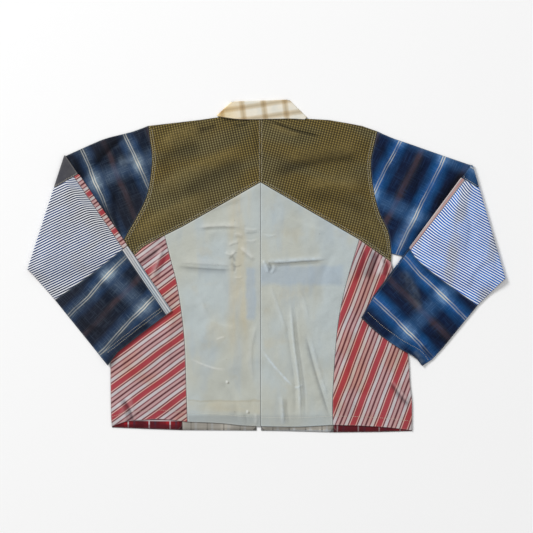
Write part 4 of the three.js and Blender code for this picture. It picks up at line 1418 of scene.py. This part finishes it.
class JACKET_OT_upper_sleeves(ClothOperator, bpy.types.Operator):
    """Lay the sleeves out to the elbow and turn their points over it"""
    bl_idname = "jacket.upper_sleeves"
    bl_label = "Upper sleeves"

    def execute(self, context):
        colours = context.scene.jacket_colours
        plaids = plaid_finishes(colours)
        grey = made("charcoal", plain_cloth, "charcoal", tuple(colours.charcoal), tone(70, 70, 76))
        fronts = {"left": (grey, "charcoal"), "right": (plaids["right"], PLAID_SLOT["right"])}
        for side in ("left", "right"):
            self.cut_out(context, f"{side}_upper_back", "fine", plaids[side], PLAID_SLOT[side], "folded",
                         [f"{side}_upper_front", f"{side}_mid_back"])
            self.cut_out(context, f"{side}_upper_front", "medium", *fronts[side], "folded",
                         [f"{side}_upper_back"])
        return {"FINISHED"}


class JACKET_OT_mid_sleeves(ClothOperator, bpy.types.Operator):
    """Fold the middle stretch of both sleeves over the elbow, fine stripe outermost"""
    bl_idname = "jacket.mid_sleeves"
    bl_label = "Middle sleeves"

    def execute(self, context):
        colours = context.scene.jacket_colours
        fine = {
            "left": ("fine_stripe", tuple(colours.stripe), tone(238, 240, 242), tone(26, 36, 62), 5.1, 0.3),
            "right": ("bright_fine_stripe", tuple(colours.bright_stripe), tone(240, 247, 254),
                      tone(14, 76, 164), 5.2, 0.7),
        }
        warm = ("warm_stripe", tone(206, 190, 188), tone(150, 138, 140), tone(176, 58, 50))
        backs = {"left": (made("red_stripe", red_stripe), "red_stripe"),
                 "right": (made("warm_stripe", pale_stripe, *warm), "pale_stripe")}
        for side in ("left", "right"):
            name = fine[side][0]
            self.cut_out(context, f"{side}_mid_front", "fine", made(name, fine_stripe, *fine[side]), name,
                         "folded", [f"{side}_mid_back"])
            self.cut_out(context, f"{side}_mid_back", "medium", *backs[side], "folded",
                         [f"{side}_upper_back"])
        return {"FINISHED"}


class JACKET_OT_cuffs(ClothOperator, bpy.types.Operator):
    """Lay the plaid cuffs"""
    bl_idname = "jacket.cuffs"
    bl_label = "Cuffs"

    def execute(self, context):
        plaids = plaid_finishes(context.scene.jacket_colours)
        cool = ("pale_stripe", tone(206, 210, 214), tone(110, 126, 140), tone(170, 182, 186))
        backs = {"left": (made("pale_stripe", pale_stripe, *cool), "pale_stripe"),
                 "right": (plaids["right"], PLAID_SLOT["right"])}
        for side in ("left", "right"):
            self.cut_out(context, f"{side}_cuff_front", "fine", plaids[side], PLAID_SLOT[side], "folded",
                         [f"{side}_cuff_back"])
            self.cut_out(context, f"{side}_cuff_back", "medium", *backs[side], "folded",
                         [f"back_side_{side}", f"{side}_upper_back"])
        return {"FINISHED"}


class JACKET_OT_stitching(bpy.types.Operator):
    """Sew the running stitches along the seams and hems"""
    bl_idname = "jacket.stitching"
    bl_label = "Stitching"
    bl_options = {"REGISTER", "UNDO"}

    def execute(self, context):
        sizes, colours = context.scene.jacket_sizes, context.scene.jacket_colours
        light = made("light_thread", thread_finish, "light_thread", tuple(colours.thread))
        grey = made("grey_thread", thread_finish, "grey_thread", tuple(colours.grey_thread))
        centre = np.array([YOKE_TOP[0], YOKE_PEAK[0]])
        chevron = {"left": np.vstack([YOKE_FOOT["left"], [YOKE_BEND[0]], YOKE_PEAK]),
                   "right": np.vstack([YOKE_FOOT["right"], YOKE_PEAK])}
        yoke, hems, flanks = [], [], []
        for side in ("left", "right"):
            name, back, flank = f"yoke_{side}", f"back_{side}", f"back_side_{side}"
            yoke += [(name, seam_rows(name, seam, inset)) for seam, inset in (
                (ARMHOLE[side], FIRST_ROW), (ARMHOLE[side], ARMHOLE_ROW), (chevron[side], FIRST_ROW),
                (chevron[side], SECOND_ROW), (centre, FIRST_ROW + 0.2))]
            hems += [(back, hem_rows(back, BACK_HEM[side], HEM_ROW)),
                     (back, seam_rows(back, SIDE_SEAM[side], FIRST_ROW))]
            flanks.append((flank, hem_rows(flank, SIDE_HEM[side], HEM_ROW)))
        stitching("yoke_stitching", yoke, light, sizes)
        stitching("hem_stitching", hems, grey, sizes)
        stitching("side_hem_stitching", flanks, light, sizes)
        for side, s in SLEEVE.items():
            cuff, upper = f"{side}_cuff_front", f"{side}_upper_front"
            rows = [(cuff, hem_rows(cuff, s["hem"], inset)) for inset in CUFF_ROWS[side]]
            rows.append((upper, seam_rows(upper, s["upper_seam"], FIRST_ROW + 0.4, 8.0)))
            stitching(f"{side}_sleeve_stitching", rows, light, sizes)
        return {"FINISHED"}


class JACKET_OT_stage(bpy.types.Operator):
    """Set a pale floor, soft light and a camera straight above"""
    bl_idname = "jacket.stage"
    bl_label = "Stage"
    bl_options = {"REGISTER", "UNDO"}

    def execute(self, context):
        scene = context.scene
        bpy.ops.mesh.primitive_plane_add(size=FLOOR_SIZE, location=(0, 0, -FLOOR_DROP))
        floor = context.object
        floor.name = "floor"
        paint = bpy.data.materials.new("floor")
        paint.use_nodes = True
        shader = paint.node_tree.nodes["Principled BSDF"]
        shader.inputs["Base Color"].default_value = scene.jacket_colours.floor
        shader.inputs["Roughness"].default_value = 0.8
        floor.data.materials.append(paint)
        for name, (place, power, size) in LAMPS.items():
            data = bpy.data.lights.new(name, "AREA")
            data.energy, data.size = power, size
            lamp = bpy.data.objects.new(name, data)
            lamp.location = place
            lamp.rotation_euler = (-Vector(place)).to_track_quat("-Z", "Y").to_euler()
            context.collection.objects.link(lamp)
        world = bpy.data.worlds.new("studio")
        world.use_nodes = True
        sky = world.node_tree.nodes["Background"]
        sky.inputs["Color"].default_value = (1, 1, 1, 1)
        sky.inputs["Strength"].default_value = DAYLIGHT
        scene.world = world
        scene.view_settings.view_transform = "Standard"
        data = bpy.data.cameras.new("camera")
        data.lens, data.sensor_width = LENS, 36
        camera = bpy.data.objects.new("camera", data)
        camera.location = CAMERA_PLACE
        context.collection.objects.link(camera)
        scene.camera = camera
        return {"FINISHED"}


STEPS = (JACKET_OT_fronts, JACKET_OT_side_backs, JACKET_OT_centre_back, JACKET_OT_yoke, JACKET_OT_collar,
         JACKET_OT_upper_sleeves, JACKET_OT_mid_sleeves, JACKET_OT_cuffs, JACKET_OT_stitching,
         JACKET_OT_stage)


class JACKET_PT_panel(bpy.types.Panel):
    """The jacket's settings and its building steps"""
    bl_label = "Patchwork Jacket"
    bl_idname = "JACKET_PT_panel"
    bl_space_type = "VIEW_3D"
    bl_region_type = "UI"
    bl_category = "Jacket"

    def draw(self, context):
        for group in (context.scene.jacket_sizes, context.scene.jacket_colours):
            box = self.layout.box()
            for name in group.__annotations__:
                box.prop(group, name)
        for step in STEPS:
            self.layout.operator(step.bl_idname)


CLASSES = (JacketSizes, JacketColours, *STEPS, JACKET_PT_panel)


def register():
    for cls in CLASSES:
        bpy.utils.register_class(cls)
    bpy.types.Scene.jacket_sizes = bpy.props.PointerProperty(type=JacketSizes)
    bpy.types.Scene.jacket_colours = bpy.props.PointerProperty(type=JacketColours)


def unregister():
    del bpy.types.Scene.jacket_colours
    del bpy.types.Scene.jacket_sizes
    for cls in reversed(CLASSES):
        bpy.utils.unregister_class(cls)


def main():
    register()
    bpy.ops.jacket.fronts()
    bpy.ops.jacket.side_backs()
    bpy.ops.jacket.centre_back()
    bpy.ops.jacket.yoke()
    bpy.ops.jacket.collar()
    bpy.ops.jacket.upper_sleeves()
    bpy.ops.jacket.mid_sleeves()
    bpy.ops.jacket.cuffs()
    bpy.ops.jacket.stitching()
    bpy.ops.jacket.stage()


if __name__ == "__main__":
    main()
